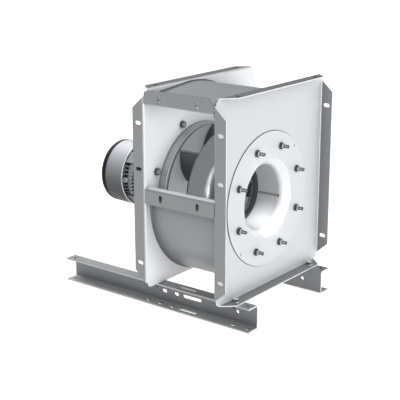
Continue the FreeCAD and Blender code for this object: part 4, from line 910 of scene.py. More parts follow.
def hexagon(mesh: Mesh, matrix: Matrix, width: float, height: float, bore: float = 0.0,
            chamfer_both: bool = False, segments: int = 72, dark_ring: bool = False) -> None:
    """A hexagon head or nut with the round chamfer that turning leaves on its corners.

    Its sides and its chamfer take the second finish, its faces the first.

    Args:
        mesh: the mesh that gets the faces.
        matrix: where its foot stands; it rises along the local +Z.
        width: width across the flats.
        height: its height.
        bore: radius of the hole, or 0 for a head.
        chamfer_both: whether the foot is chamfered too.
        segments: facets round it, a multiple of six.
        dark_ring: whether a head's outer ring takes the second finish too.
    """
    flat = width / 2
    turned_face = flat * 0.97
    head_middle = flat * 0.6
    slope = math.tan(math.radians(30))
    angles = [2 * math.pi * step / segments for step in range(segments)]

    def ring(radius: float, level: float) -> list[Vector]:
        """A circle of points at one level."""
        return [round_point(radius, angle, level) for angle in angles]

    walls_low, walls_high = [], []
    for angle in angles:
        within = (angle % (math.pi / 3)) - math.pi / 6
        reach = flat / math.cos(within)
        drop = max(reach - turned_face, 0.0) * slope
        walls_low.append(round_point(reach, angle, drop if chamfer_both else 0.0))
        walls_high.append(round_point(reach, angle, height - drop))
    if bore > 0:
        sink = bore * 0.14
        rows = [ring(bore, sink), ring(bore + sink, 0.0)]
        if chamfer_both:
            rows.append(ring(turned_face, 0.0))
        rows += [walls_low, walls_high, ring(turned_face, height), ring(bore + sink, height),
                 ring(bore, height - sink)]
    else:
        rows = [walls_low, walls_high, ring(turned_face, height), ring(head_middle, height)]
    made = [[mesh.verts.new(matrix @ point) for point in row] for row in rows]
    count = len(made)
    sides = rows.index(walls_high)
    for index in range(count if bore > 0 else count - 1):
        first, second = made[index], made[(index + 1) % count]
        for step in range(segments):
            following = (step + 1) % segments
            face = mesh.faces.new((first[step], first[following], second[following], second[step]))
            # Painted shade: the sides, the chamfer and a dark ring take the second, darker finish.
            outer_ring = dark_ring and bore <= 0 and index > sides
            face.material_index = 1 if index in (sides - 1, sides) or outer_ring else 0
    if bore <= 0:
        mesh.faces.new(made[-1])
        mesh.faces.new(list(reversed(made[0])))


def thread(mesh: Mesh, matrix: Matrix, radius: float, pitch: float, length: float,
           segments: int = 24) -> None:
    """A screw thread that rises along the local +Z, with a chamfered end.

    It takes the second finish.

    Args:
        mesh: the mesh that gets the faces.
        matrix: where the thread starts.
        radius: the outer radius.
        pitch: rise of one turn.
        length: length of the threaded run.
        segments: facets of one turn.
    """
    root = radius - 0.6 * pitch
    end_radius = root * 0.96
    turns = int(length / pitch) + 2
    rails: list[list[Vert]] = []
    for step in range(turns * segments + 1):
        angle = 2 * math.pi * step / segments
        base = pitch * step / segments - pitch
        row = []
        for share, reach in ((0.0, root), (0.12, root), (0.45, radius), (0.58, radius)):
            level = min(max(base + share * pitch, 0.0), length)
            narrowed = min(reach, end_radius + length - level)
            row.append(mesh.verts.new(matrix @ round_point(narrowed, angle, level)))
        rails.append(row)
    for step in range(len(rails) - 1):
        for share in range(3):
            face = mesh.faces.new((rails[step][share], rails[step + 1][share],
                                   rails[step + 1][share + 1], rails[step][share + 1]))
            face.material_index = 1
        above = step + segments
        if above + 1 < len(rails):
            low, high = rails[step:step + 2], rails[above:above + 2]
            mesh.faces.new((low[0][3], low[1][3], high[1][0], high[0][0])).material_index = 1
    end = [mesh.verts.new(matrix @ round_point(end_radius, 2 * math.pi * step / segments, length))
           for step in range(segments)]
    mesh.faces.new(end).material_index = 1


def finish_piece(name: str, mesh: Mesh, finishes: Sequence[Finish], nodes: Sequence[str] = (),
                 body: Body = Body.CASING, bevel: float = 0.0,
                 sharp: float = 40.0) -> bpy.types.Object:
    """Turn a finished mesh into a piece of the object.

    Args:
        name: the piece's name.
        mesh: its mesh, freed here.
        finishes: one finish for each material index.
        nodes: the solids that it stands for.
        body: the body that it rides on.
        bevel: width of the rounding on its sharp edges, in metres.
        sharp: edges sharper than this angle, in degrees, stay crisp or get the rounding.

    Returns:
        The new object.
    """
    bmesh.ops.remove_doubles(mesh, verts=mesh.verts, dist=1e-7)
    bmesh.ops.recalc_face_normals(mesh, faces=mesh.faces)
    data = bpy.data.meshes.new(name)
    mesh.to_mesh(data)
    mesh.free()
    item = place_object(name, data)
    for finish in finishes:
        data.materials.append(finish.material())
    data.polygons.foreach_set("use_smooth", [True] * len(data.polygons))
    if bevel > 0:
        rounding = item.modifiers.new("edge_rounding", "BEVEL")
        rounding.width = bevel
        rounding.segments = 2
        rounding.limit_method = "ANGLE"
        rounding.angle_limit = math.radians(sharp)
        rounding.use_clamp_overlap = True
    else:
        data.set_sharp_from_angle(angle=math.radians(sharp))
    evening = item.modifiers.new("flat_face_shading", "WEIGHTED_NORMAL")
    evening.mode = "FACE_AREA"
    evening.weight = 80
    evening.keep_sharp = True
    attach(item, body.value)
    if nodes:
        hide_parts(*nodes)
    log.info("%s: %d faces", name, len(data.polygons))
    return item


# Widths as shares of the sheet's thickness: the widest cut edge, and the narrowest broad face
EDGE_SHARE = 1.08
BROAD_SHARE = 1.3
# Lengths in metres: a cut edge that stands askew is shorter than the first, a hole's facet than the second
LONGEST_CUT = 0.06
LONGEST_HOLE_FACET = 0.026
# Directions whose product is over this count as the same
SAME_WAY = 0.9995


def face_width(face: Face) -> float:
    """The width of a long face, from its area and its outline."""
    return 2 * face.calc_area() / max(face.calc_perimeter(), 1e-9)


def beside_broad_face(face: Face, thickness: float) -> bool:
    """Whether a narrow face is only a strip of a broad flat one.

    Args:
        face: the narrow face.
        thickness: the sheet's thickness in metres.

    Returns:
        True when a broad face lies in the same plane beside it.
    """
    for edge in face.edges:
        for other in edge.link_faces:
            level = other is not face and other.normal.dot(face.normal) > SAME_WAY
            if level and face_width(other) > thickness * BROAD_SHARE:
                return True
    return False


def mark_zones(mesh: Mesh, thickness: float, dress: SheetDress) -> None:
    """Give each face of a folded sheet its finish: broad faces, cut edges and the walls of holes.

    Args:
        mesh: the sheet's mesh, with its flat faces already joined.
        thickness: the sheet's thickness in metres.
        dress: the sheet's finishes.
    """
    for face in mesh.faces:
        face.material_index = dress.index_of(face.normal, face.calc_center_median().z)
        if face_width(face) > thickness * EDGE_SHARE:
            continue
        longest = max(edge.calc_length() for edge in face.edges)
        squared_up = max(abs(part) for part in face.normal) > SAME_WAY
        if (longest < LONGEST_CUT or squared_up) and not beside_broad_face(face, thickness):
            face.material_index = dress.HOLE_INDEX if longest < LONGEST_HOLE_FACET else dress.EDGE_INDEX


def joined_copy(node: str, flatness: float = 0.6) -> Mesh:
    """A copy of a solid's mesh with the triangles of each flat face joined.

    Args:
        node: the solid's name.
        flatness: faces within this angle, in degrees, are joined.

    Returns:
        The new mesh.
    """
    mesh = bmesh.new()
    mesh.from_mesh(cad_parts[node].data)
    bmesh.ops.remove_doubles(mesh, verts=mesh.verts, dist=2e-6)
    bmesh.ops.dissolve_degenerate(mesh, dist=1e-7, edges=mesh.edges)
    bmesh.ops.dissolve_limit(mesh, angle_limit=math.radians(flatness), verts=mesh.verts, edges=mesh.edges)
    for face in mesh.faces:
        face.material_index = 0
    return mesh


def dressed_sheet(node: str, dress: SheetDress, thickness: float,
                  bevel: float = 0.35 * MM, split: float | None = None) -> bpy.types.Object:
    """A sheet-metal solid of the casing, its edges rounded, with finishes for faces, edges and holes.

    Args:
        node: the solid's name.
        dress: its finishes.
        thickness: the sheet's thickness in metres.
        bevel: width of the edge rounding.
        split: place along X beyond which the sheet's upper face is a near-black painted shadow strip, if
            any.

    Returns:
        The new object.
    """
    mesh = joined_copy(node)
    if split is not None:
        cut_across(mesh, Vector((split, 0.0, 0.0)), Vector((1.0, 0.0, 0.0)))
    mark_zones(mesh, thickness, dress)
    # Painted shadow: the upward faces beyond the split take the near-black finish.
    if split is not None:
        for face in mesh.faces:
            if face.normal.z > 0.9 and face.calc_center_median().x > split:
                face.material_index = dress.HOLE_INDEX
    return finish_piece(f"{node}_dressed", mesh, dress.finishes(), (node,), bevel=bevel)


def dressed_solid(node: str, finish: Finish, bevel: float,
                  body: Body = Body.CASING) -> bpy.types.Object:
    """A cast or moulded solid with rounded edges.

    Args:
        node: the solid's name.
        finish: its finish.
        bevel: width of the edge rounding.
        body: the body that it rides on.

    Returns:
        The new object.
    """
    return finish_piece(f"{node}_dressed", joined_copy(node), (finish,), (node,), body=body,
                        bevel=bevel)


def paint_node(node: str, finish: Finish) -> None:
    """Give a solid that stays as it is its finish.

    Args:
        node: the solid's name.
        finish: its finish.
    """
    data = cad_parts[node].data
    data.materials.clear()
    data.materials.append(finish.material())
    log.info("%s keeps its solid", node)


# Sub-assemblies


@dataclass
class ShaftLine:
    """Where the shaft runs and the main places along it, in metres."""

    point: Vector = field(default_factory=lambda: Vector((-15 * MM, 0.0, 312 * MM)))
    plate_front: float = -258 * MM
    casing_front: float = -255 * MM
    casing_rear: float = -27 * MM
    plate_back: float = -24 * MM
    motor_face: float = -18 * MM

    def beside(self, offset: Vector, y: float) -> Vector:
        """The point at an (X, Z) offset from the shaft line, at a place along it."""
        return Vector((self.point.x + offset.x, y, self.point.z + offset.y))

    def ring(self, radius: float, count: int, start: float, y: float, direction: Vector) -> list[Place]:
        """Places on a circle round the shaft.

        Args:
            radius: the circle's radius.
            count: how many places.
            start: angle of the first one, in degrees.
            y: place along the shaft.
            direction: which way each piece points.

        Returns:
            The places, each a point and a direction.
        """
        angles = [math.radians(start + 360 * step / count) for step in range(count)]
        return [(shaft_point(radius, angle, y, self.point), direction) for angle in angles]


@dataclass
class Fasteners:
    """The M10 bolts, nuts and washers with their sizes, and the small screws."""

    shank: float = 5 * MM
    pitch: float = 1.5 * MM
    head_width: float = 17 * MM
    head_height: float = 6.4 * MM
    nut_height: float = 8 * MM
    washer_radius: float = 10 * MM
    washer_thickness: float = 2 * MM
    bore: float = 5.05 * MM

    def bolts(self, name: str, node: str, places: Iterable[Place], length: float, plain: float,
              head: Finish = FACED_ZINC, dark_ring: bool = False) -> None:
        """A group of hexagon bolts with a plain shank and a threaded end.

        Args:
            name: the piece's name.
            node: the solid that it stands for.
            places: where each head's foot stands, and which way the shank points.
            length: length of the shank.
            plain: length of the shank without thread.
            head: finish of the head's top.
            dark_ring: whether the head's outer ring is as dark as its sides.
        """
        mesh = bmesh.new()
        for number, (point, direction) in enumerate(places):
            seat = placed(point, -direction) @ Matrix.Rotation(0.35 * number, 4, "Z")
            hexagon(mesh, seat, self.head_width, self.head_height, dark_ring=dark_ring)
            along = placed(point, direction)
            shank = soften([(0.0, 0.0), (self.shank, 0.0), (self.shank, plain, 0.2 * MM), (0.0, plain)], 2)
            spin_profile(mesh, shank, along, 28, False)
            thread(mesh, along @ Matrix.Translation((0, 0, plain)), self.shank, self.pitch, length - plain)
        finish_piece(name, mesh, (head, SHADED_STEEL), (node,), sharp=28.0)

    def nuts(self, name: str, node: str, places: Iterable[Place]) -> None:
        """A group of hexagon nuts.

        Args:
            name: the piece's name.
            node: the solid that it stands for.
            places: where each nut's foot stands, and which way it rises.
        """
        mesh = bmesh.new()
        for number, (point, direction) in enumerate(places):
            foot = placed(point, direction) @ Matrix.Rotation(0.55 + 0.4 * number, 4, "Z")
            hexagon(mesh, foot, self.head_width, self.nut_height, self.bore, True)
        finish_piece(name, mesh, (FACED_ZINC, SHADED_STEEL), (node,), sharp=28.0)

    def washers(self, name: str, node: str, places: Iterable[Place],
                finish: Finish = FACED_ZINC) -> None:
        """A group of plain washers with slightly rolled rims.

        Args:
            name: the piece's name.
            node: the solid that it stands for.
            places: where each washer lies, and which way it rises.
            finish: their finish.
        """
        mesh = bmesh.new()
        rim, thick = self.washer_radius, self.washer_thickness
        profile = soften([(self.bore, 0.0), (rim, 0.0, BROKEN_EDGE), (rim, thick, 0.7 * MM),
                          (self.bore, thick)], 4)
        for point, direction in places:
            spin_profile(mesh, profile, placed(point, direction), 48)
        finish_piece(name, mesh, (finish,), (node,))

    def round_screws(self, name: str, node: str, places: Iterable[Place], head: float, height: float,
                     shank: float, length: float) -> None:
        """A group of domed screws with a cross recess.

        Args:
            name: the piece's name.
            node: the solid that it stands for.
            places: where each head's foot stands, and which way the shank points.
            head: radius of the head.
            height: height of the head.
            shank: radius of the shank.
            length: length of the shank.
        """
        mesh = bmesh.new()
        facets, rim_share = 14, 0.25
        recess_half_width, recess_reach, recess_fade = head * 0.13, head * 0.62, head * 0.72
        recess_depth, recess_foot = height * 0.42, height * 0.45
        dome: list[Point] = [(0.0, 0.0), (head * 0.97, 0.0)]
        for step in range(facets + 1):
            angle = math.pi / 2 * step / facets
            dome.append((head * math.cos(angle), height * (rim_share + (1 - rim_share) * math.sin(angle))))
        for number, (point, direction) in enumerate(places):
            seat = placed(point, -direction) @ Matrix.Rotation(0.5 * number, 4, "Z")
            local = bmesh.new()
            spin_profile(local, dome, Matrix.Identity(4), 48, False)
            for vert in local.verts:
                across = min(abs(vert.co.x), abs(vert.co.y))
                reach = max(abs(vert.co.x), abs(vert.co.y))
                if vert.co.z > recess_foot and across < recess_half_width and reach < recess_reach:
                    vert.co.z -= recess_depth * (1 - reach / recess_fade)
            bmesh.ops.transform(local, matrix=seat, verts=local.verts)
            merge(mesh, local)
            spin_profile(mesh, [(0.0, 0.0), (shank, 0.0), (shank, length), (0.0, length)],
                         placed(point, direction), 20, False)
        finish_piece(name, mesh, (ZINC,), (node,), sharp=50.0)


@dataclass
class Casing:
    """The two folded side plates, the scroll wall and the two outlet braces."""

    shaft: ShaftLine
    plate_thickness: float = 3 * MM
    brace_thickness: float = 2.5 * MM
    wall: float = 2 * MM
    left_reach: float = 212 * MM
    bottom_reach: float = 237 * MM
    radii: tuple[float, float, float, float] = (226 * MM, 245 * MM, 291 * MM, 318 * MM)
    runoff_degrees: float = 4.9
    lip_top: float = 38.5 * MM
    painted_shadow_x: float = -222 * MM
    sealant_leg: float = 4.4 * MM
    outlet_x: float = -234.5 * MM

    def build(self) -> None:
        """Build the casing's pieces."""
        for node, dress, thickness, split in (
                ("front_side_plate", PLATE_DRESS, self.plate_thickness, None),
                ("rear_side_plate", REAR_DRESS, self.plate_thickness, None),
                ("outlet_top_brace", TOP_BRACE_DRESS, self.brace_thickness, None),
                ("outlet_mid_brace", BRACE_DRESS, self.brace_thickness, self.painted_shadow_x)):
            dressed_sheet(node, dress, thickness, split=split)
        self.scroll_wall()
        self.seam_sealant()

    def scroll_line(self, inset: float) -> list[Vector]:
        """The scroll's line in the plane across the shaft, from the middle brace to the outlet.

        Args:
            inset: how far inside the outer face the line runs.

        Returns:
            Points with X and Z counted from the shaft line.
        """
        first, second, third, fourth = self.radii
        left = Vector((first - self.left_reach, first - self.bottom_reach))
        lower = Vector((left.x, left.y + second - first))
        upper = Vector((lower.x - (third - second), lower.y))
        last = Vector((upper.x, upper.y - (fourth - third)))
        arcs = ((left, first, 180.0, 270.0), (lower, second, 270.0, 360.0), (upper, third, 0.0, 90.0),
                (last, fourth, 90.0, 90.0 + self.runoff_degrees))
        points = [Vector((left.x - first + inset, self.lip_top))]
        for centre, radius, start, end in arcs:
            steps = max(3, round((end - start) / 1.5))
            points += [Vector(point) for point in arc_line(centre, radius - inset, start, end, steps)]
        slope = math.tan(math.radians(self.runoff_degrees))
        tip = points[-1]
        points.append(Vector((self.outlet_x, tip.y - (tip.x - self.outlet_x) * slope)))
        return points

    def scroll_wall(self) -> None:
        """The rolled scroll sheet between both plates."""
        mesh = bmesh.new()
        outer, inner = self.scroll_line(0.0), self.scroll_line(self.wall)
        clear = 0.05 * MM
        columns = (self.shaft.casing_front + clear, self.shaft.casing_rear - clear)
        grid = []
        for line in (outer, inner):
            grid.append([[mesh.verts.new(self.shaft.beside(point, y)) for y in columns] for point in line])
        for layer in grid:
            strip(mesh, [row[0] for row in layer], [row[1] for row in layer])
        # Painted shade: the sheet's edges take the near-black finish.
        for column in (0, 1):
            strip(mesh, [row[column] for row in grid[0]], [row[column] for row in grid[1]], 1)
        for end in (0, -1):
            strip(mesh, grid[0][end], grid[1][end], 1)
        finish_piece("scroll_sheet", mesh, (WRAP_SHEET, PAINTED_SHADE_DARK), ("scroll_wrap",), bevel=0.3 * MM,
                     sharp=50.0)

    @staticmethod
    def denser(line: list[Vector], gap: float) -> list[Vector]:
        """The same line with points added, so that none lie further apart than a gap.

        Args:
            line: the line's points.
            gap: the widest gap in metres.

        Returns:
            The denser points.
        """
        result = [line[0]]
        for start, end in zip(line, line[1:]):
            steps = max(1, math.ceil((end - start).length / gap))
            result += [start.lerp(end, step / steps) for step in range(1, steps + 1)]
        return result

    def seam_sealant(self) -> None:
        """The dark fillets of sealant where the scroll sheet meets both plates."""
        mesh = bmesh.new()
        leg = self.sealant_leg
        widest_gap = 8 * MM
        section = ((-0.3, 0.06), (-0.3, 1.0), (0.35, 0.75), (0.75, 0.35), (1.0, 0.06))
        for inset, outward in ((0.0, 1.0), (self.wall, -1.0)):
            line = self.denser(self.scroll_line(inset), widest_gap)[1:-1]
            for start, rise in ((self.shaft.casing_front, 1.0), (self.shaft.casing_rear, -1.0)):
                rows = []
                for index in range(1, len(line) - 1):
                    run = (line[index + 1] - line[index - 1]).normalized()
                    normal = Vector((-run.y, run.x)) * -outward
                    row = []
                    for away, along in section:
                        offset = line[index] + normal * (away * leg)
                        row.append(mesh.verts.new(self.shaft.beside(offset, start + rise * along * leg)))
                    rows.append(row)
                skin_tube(mesh, rows)
        finish_piece("scroll_seam_sealant", mesh, (SEALANT,), sharp=60.0)


@dataclass
class InletNozzle:
    """The spun nozzle with its flat flange and the ring of bolts that holds it."""

    shaft: ShaftLine
    fasteners: Fasteners
    wall: float = 2.5 * MM
    rim: float = 185 * MM
    mouth: float = 111 * MM
    mouth_slope: float = 45.0
    throat: float = 90 * MM
    blend: float = 22 * MM
    bend_facets: int = 20
    throat_end: float = 86 * MM
    depth: float = 90 * MM
    bolt_circle: float = 147.5 * MM
    bolt_hole: float = 5.5 * MM
    locating_circle: float = 176.5 * MM
    locating_hole: float = 2.25 * MM
    bolt_count: int = 8
    first_bolt: float = 22.5
    bolt_reach: float = 31 * MM
    bolt_plain: float = 8 * MM
    broken_rim: float = 0.4 * MM
    reflection_line_angle: float = -10.0
    reflection_line_start: float = -238 * MM
    reflection_line_half_width: float = 3.8 * MM
    reflection_line_height: float = 0.5 * MM
    segments: int = 192

    def build(self) -> None:
        """Build the nozzle and its fasteners."""
        self.nozzle()
        self.rim_sealant()
        self.painted_reflection_bead()
        front = self.shaft.plate_front - self.wall
        washer = self.fasteners.washer_thickness
        self.fasteners.bolts("nozzle_bolts", "inlet_bolts", self.bolt_places(self.shaft.casing_front),
                             self.bolt_reach, self.bolt_plain)
        self.fasteners.washers("nozzle_washers", "inlet_washers", self.bolt_places(front), SHADED_STEEL)
        self.fasteners.nuts("nozzle_nuts", "inlet_nuts", self.bolt_places(front - washer))

    def bolt_places(self, y: float) -> list[Place]:
        """Places of the eight bolts at one level along the shaft."""
        return self.shaft.ring(self.bolt_circle, self.bolt_count, self.first_bolt, y, INLET_WARD)

    def rim_sealant(self) -> None:
        """The thin bead of dark sealant round the flange, where it meets the side plate."""
        mesh = bmesh.new()
        level = self.shaft.plate_front
        lathe(mesh, [(self.rim - 0.3 * MM, level - 1.9 * MM), (self.rim + 0.25 * MM, level - 1.5 * MM),
                     (self.rim + 0.9 * MM, level - 0.7 * MM), (self.rim + 1.5 * MM, level + 0.03 * MM),
                     (self.rim - 0.3 * MM, level + 0.03 * MM)], self.shaft.point, self.segments)
        finish_piece("nozzle_rim_sealant", mesh, (SEALANT,), sharp=60.0)

    def throat_radius(self, y: float) -> float:
        """Inside radius of the tapered throat at a place along the shaft."""
        share = (y - self.reflection_line_start) / (self.shaft.plate_front + self.depth - self.reflection_line_start)
        return self.throat + (self.throat_end - self.throat) * min(max(share, 0.0), 1.0)

    def painted_reflection_bead(self) -> None:
        """A thin dark bead along the throat's wall, shaped as a weld seam: a painted reflection line."""
        mesh = bmesh.new()
        end = self.shaft.plate_front + self.depth - 1.0 * MM
        rows = []
        steps = 60
        above_wall, in_wall = 0.05 * MM, 0.5 * MM
        middle = math.radians(self.reflection_line_angle)
        for step in range(steps + 1):
            y = self.reflection_line_start + (end - self.reflection_line_start) * step / steps
            radius = self.throat_radius(y)
            height = self.reflection_line_height * (1 + 0.15 * math.sin(step * 1.9))
            row = []
            for across in (-1.0, -0.6, 0.0, 0.6, 1.0):
                angle = middle + across * self.reflection_line_half_width / radius
                reach = radius + above_wall - height * (1 - across * across)
                row.append(mesh.verts.new(shaft_point(reach, angle, y, self.shaft.point)))
            row.append(mesh.verts.new(shaft_point(radius + in_wall, middle, y, self.shaft.point)))
            rows.append(row)
        skin_tube(mesh, rows)
        finish_piece("throat_painted_reflection_bead", mesh, (PAINTED_REFLECTION_LINE,), sharp=60.0)

    def mouth_radius(self, y: float) -> float:
        """Where the flat flange ends and the mouth starts, on its front and on its back.

        Args:
            y: place of that face along the shaft.

        Returns:
            The radius in metres.
        """
        if y < self.shaft.plate_front:
            return self.mouth + self.broken_rim
        radius, end_y = self.bend_line(self.blend - self.wall)[-1]
        return radius + (end_y - y) * math.tan(math.radians(self.mouth_slope))

    def bend_line(self, radius: float) -> list[Point]:
        """The bend between the throat and the sloping mouth.

        Args:
            radius: distance from the bend's centre.

        Returns:
            The line as (radius, y) points, from the throat outwards.
        """
        slope = math.radians(self.mouth_slope)
        centre = self.throat + self.blend
        slope_end = centre - self.blend * math.cos(slope)
        start_y = self.shaft.plate_front - self.wall + (self.mouth - slope_end) / math.tan(slope)
        middle = (centre, start_y + self.blend * math.sin(slope))
        return arc_line(middle, radius, 180.0, 180.0 + self.mouth_slope, self.bend_facets)

    def flange(self, mesh: Mesh) -> None:
        """The flat flange with its rim and its holes.

        Args:
            mesh: the mesh that gets the faces.
        """
        front, back = self.shaft.plate_front - self.wall, self.shaft.plate_front
        holes = [(point, self.bolt_hole, 40) for point, _ in self.bolt_places(0.0)]
        for point, _ in self.shaft.ring(self.locating_circle, 2, 45.0, 0.0, INLET_WARD):
            holes.append((point, self.locating_hole, 24))
        loops: dict[float, list[list[Vert]]] = {}
        for y in (front, back):
            rings = [vert_ring(mesh, radius, y, self.shaft.point, self.segments)
                     for radius in (self.rim, self.mouth_radius(y))]
            rings += [vert_ring(mesh, radius, y, point, count) for point, radius, count in holes]
            edges = []
            for ring in rings:
                edges += [mesh.edges.new((ring[index - 1], ring[index])) for index in range(len(ring))]
            bmesh.ops.triangle_fill(mesh, use_beauty=True, use_dissolve=True, edges=edges)
            loops[y] = rings
        # Painted shade: the rim and the hole walls take the darkened edge finish.
        for number, (near, far) in enumerate(zip(loops[front], loops[back])):
            if number == 1:
                continue
            for index in range(len(near)):
                face = mesh.faces.new((near[index - 1], near[index], far[index], far[index - 1]))
                face.material_index = 1

    def turned_line(self) -> list[Point]:
        """The line of the mouth and the throat, from the flange's front to its back.

        Returns:
            The line as (radius, y) points.
        """
        front, back = self.shaft.plate_front - self.wall, self.shaft.plate_front
        profile = [(self.mouth + self.broken_rim, front), (self.mouth, front + 0.1 * MM),
                   (self.mouth - 0.5 * MM, front + 0.55 * MM)]
        profile += reversed(self.bend_line(self.blend))
        end = self.shaft.plate_front + self.depth
        outside = self.throat_end + self.wall
        profile += [(self.throat_end, end - self.broken_rim), (self.throat_end + self.broken_rim, end),
                    (outside - self.broken_rim, end), (outside, end - self.broken_rim)]
        profile += self.bend_line(self.blend - self.wall)
        profile.append((self.mouth_radius(back), back))
        return profile

    def nozzle(self) -> None:
        """The flange with its holes, and the turned mouth and throat."""
        mesh = bmesh.new()
        self.flange(mesh)
        lathe(mesh, self.turned_line(), self.shaft.point, self.segments, False)
        # Painted light: the mouth and throat take the lighter spun sheet.
        for face in mesh.faces:
            if (face.calc_center_median() - self.shaft.point).xz.length < self.mouth:
                face.material_index = 2
        finish_piece("nozzle_spinning", mesh, (NOZZLE_FLANGE, SHADED_TRIMMED_EDGE, SPUN_AND_LIT_NOZZLE_SHEET),
                     ("inlet_nozzle",), bevel=0.35 * MM, sharp=50.0)


@dataclass
class HeatShield:
    """The dished pan, its insulation and the thick plate that carries the motor."""

    shaft: ShaftLine
    fasteners: Fasteners
    pan_radius: float = 181 * MM
    pan_front: float = -47.5 * MM
    pan_wall: float = 1.5 * MM
    pan_hole: float = 30 * MM
    bend: float = 3 * MM
    seal_bore: float = 12.3 * MM
    seal_radius: float = 44 * MM
    seal_thickness: float = 5 * MM
    bolt_circle: float = 203.5 * MM
    bolt_count: int = 8
    first_bolt: float = 22.5
    bolt_length: float = 22 * MM
    bolt_plain: float = 9 * MM
    plate_thickness: float = 6 * MM

    def build(self) -> None:
        """Build the shield, the motor plate and their fasteners."""
        self.pan()
        dressed_sheet("motor_mounting_plate", THICK_DRESS, self.plate_thickness, bevel=0.6 * MM)
        paint_node("insulation_disc", WOOL)
        self.seal()
        head_foot = self.shaft.casing_rear - self.fasteners.washer_thickness
        self.fasteners.bolts("motor_plate_bolt_set", "motor_plate_bolts", self.bolt_places(head_foot),
                             self.bolt_length, self.bolt_plain, HEAD_ZINC, True)
        self.fasteners.washers("motor_plate_washer_set", "motor_plate_washers", self.bolt_places(head_foot),
                               SHADED_STEEL)
        self.fasteners.nuts("motor_plate_nut_set", "motor_plate_nuts",
                            self.bolt_places(self.shaft.motor_face))

    def bolt_places(self, y: float) -> list[Place]:
        """Places of the eight bolts at one level along the shaft."""
        return self.shaft.ring(self.bolt_circle, self.bolt_count, self.first_bolt, y, MOTOR_WARD)

    def pan(self) -> None:
        """The pressed pan: a flat face with a rounded rim and a straight skirt."""
        mesh = bmesh.new()
        back, wall, rim = self.shaft.plate_back, self.pan_wall, self.pan_radius
        front = self.pan_front
        profile = soften([
            (self.pan_hole, front, BROKEN_EDGE), (rim, front, self.bend), (rim, back - 0.2 * MM),
            (rim - wall, back - 0.2 * MM), (rim - wall, front + wall, self.bend - wall),
            (self.pan_hole, front + wall, BROKEN_EDGE)])
        lathe(mesh, profile, self.shaft.point, 192)
        # Painted shade: the pan's front face takes the darker copy.
        for face in mesh.faces:
            if face.calc_center_median().y < front + self.bend:
                face.material_index = 1
        finish_piece("heat_shield_pressing", mesh, (PAN_SHEET, SHADED_PAN_FACE), ("heat_shield_pan",))

    def seal(self) -> None:
        """The flat disc that closes the hole round the shaft."""
        mesh = bmesh.new()
        front = self.pan_front + self.pan_wall
        back = front + self.seal_thickness
        corners = ((self.seal_bore, front), (self.seal_radius, front), (self.seal_radius, back),
                   (self.seal_bore, back))
        lathe(mesh, soften([(*corner, BROKEN_EDGE) for corner in corners], 3), self.shaft.point, 96)
        finish_piece("shaft_seal_ring", mesh, (PAN_SHEET,), ("shaft_seal_disc",))


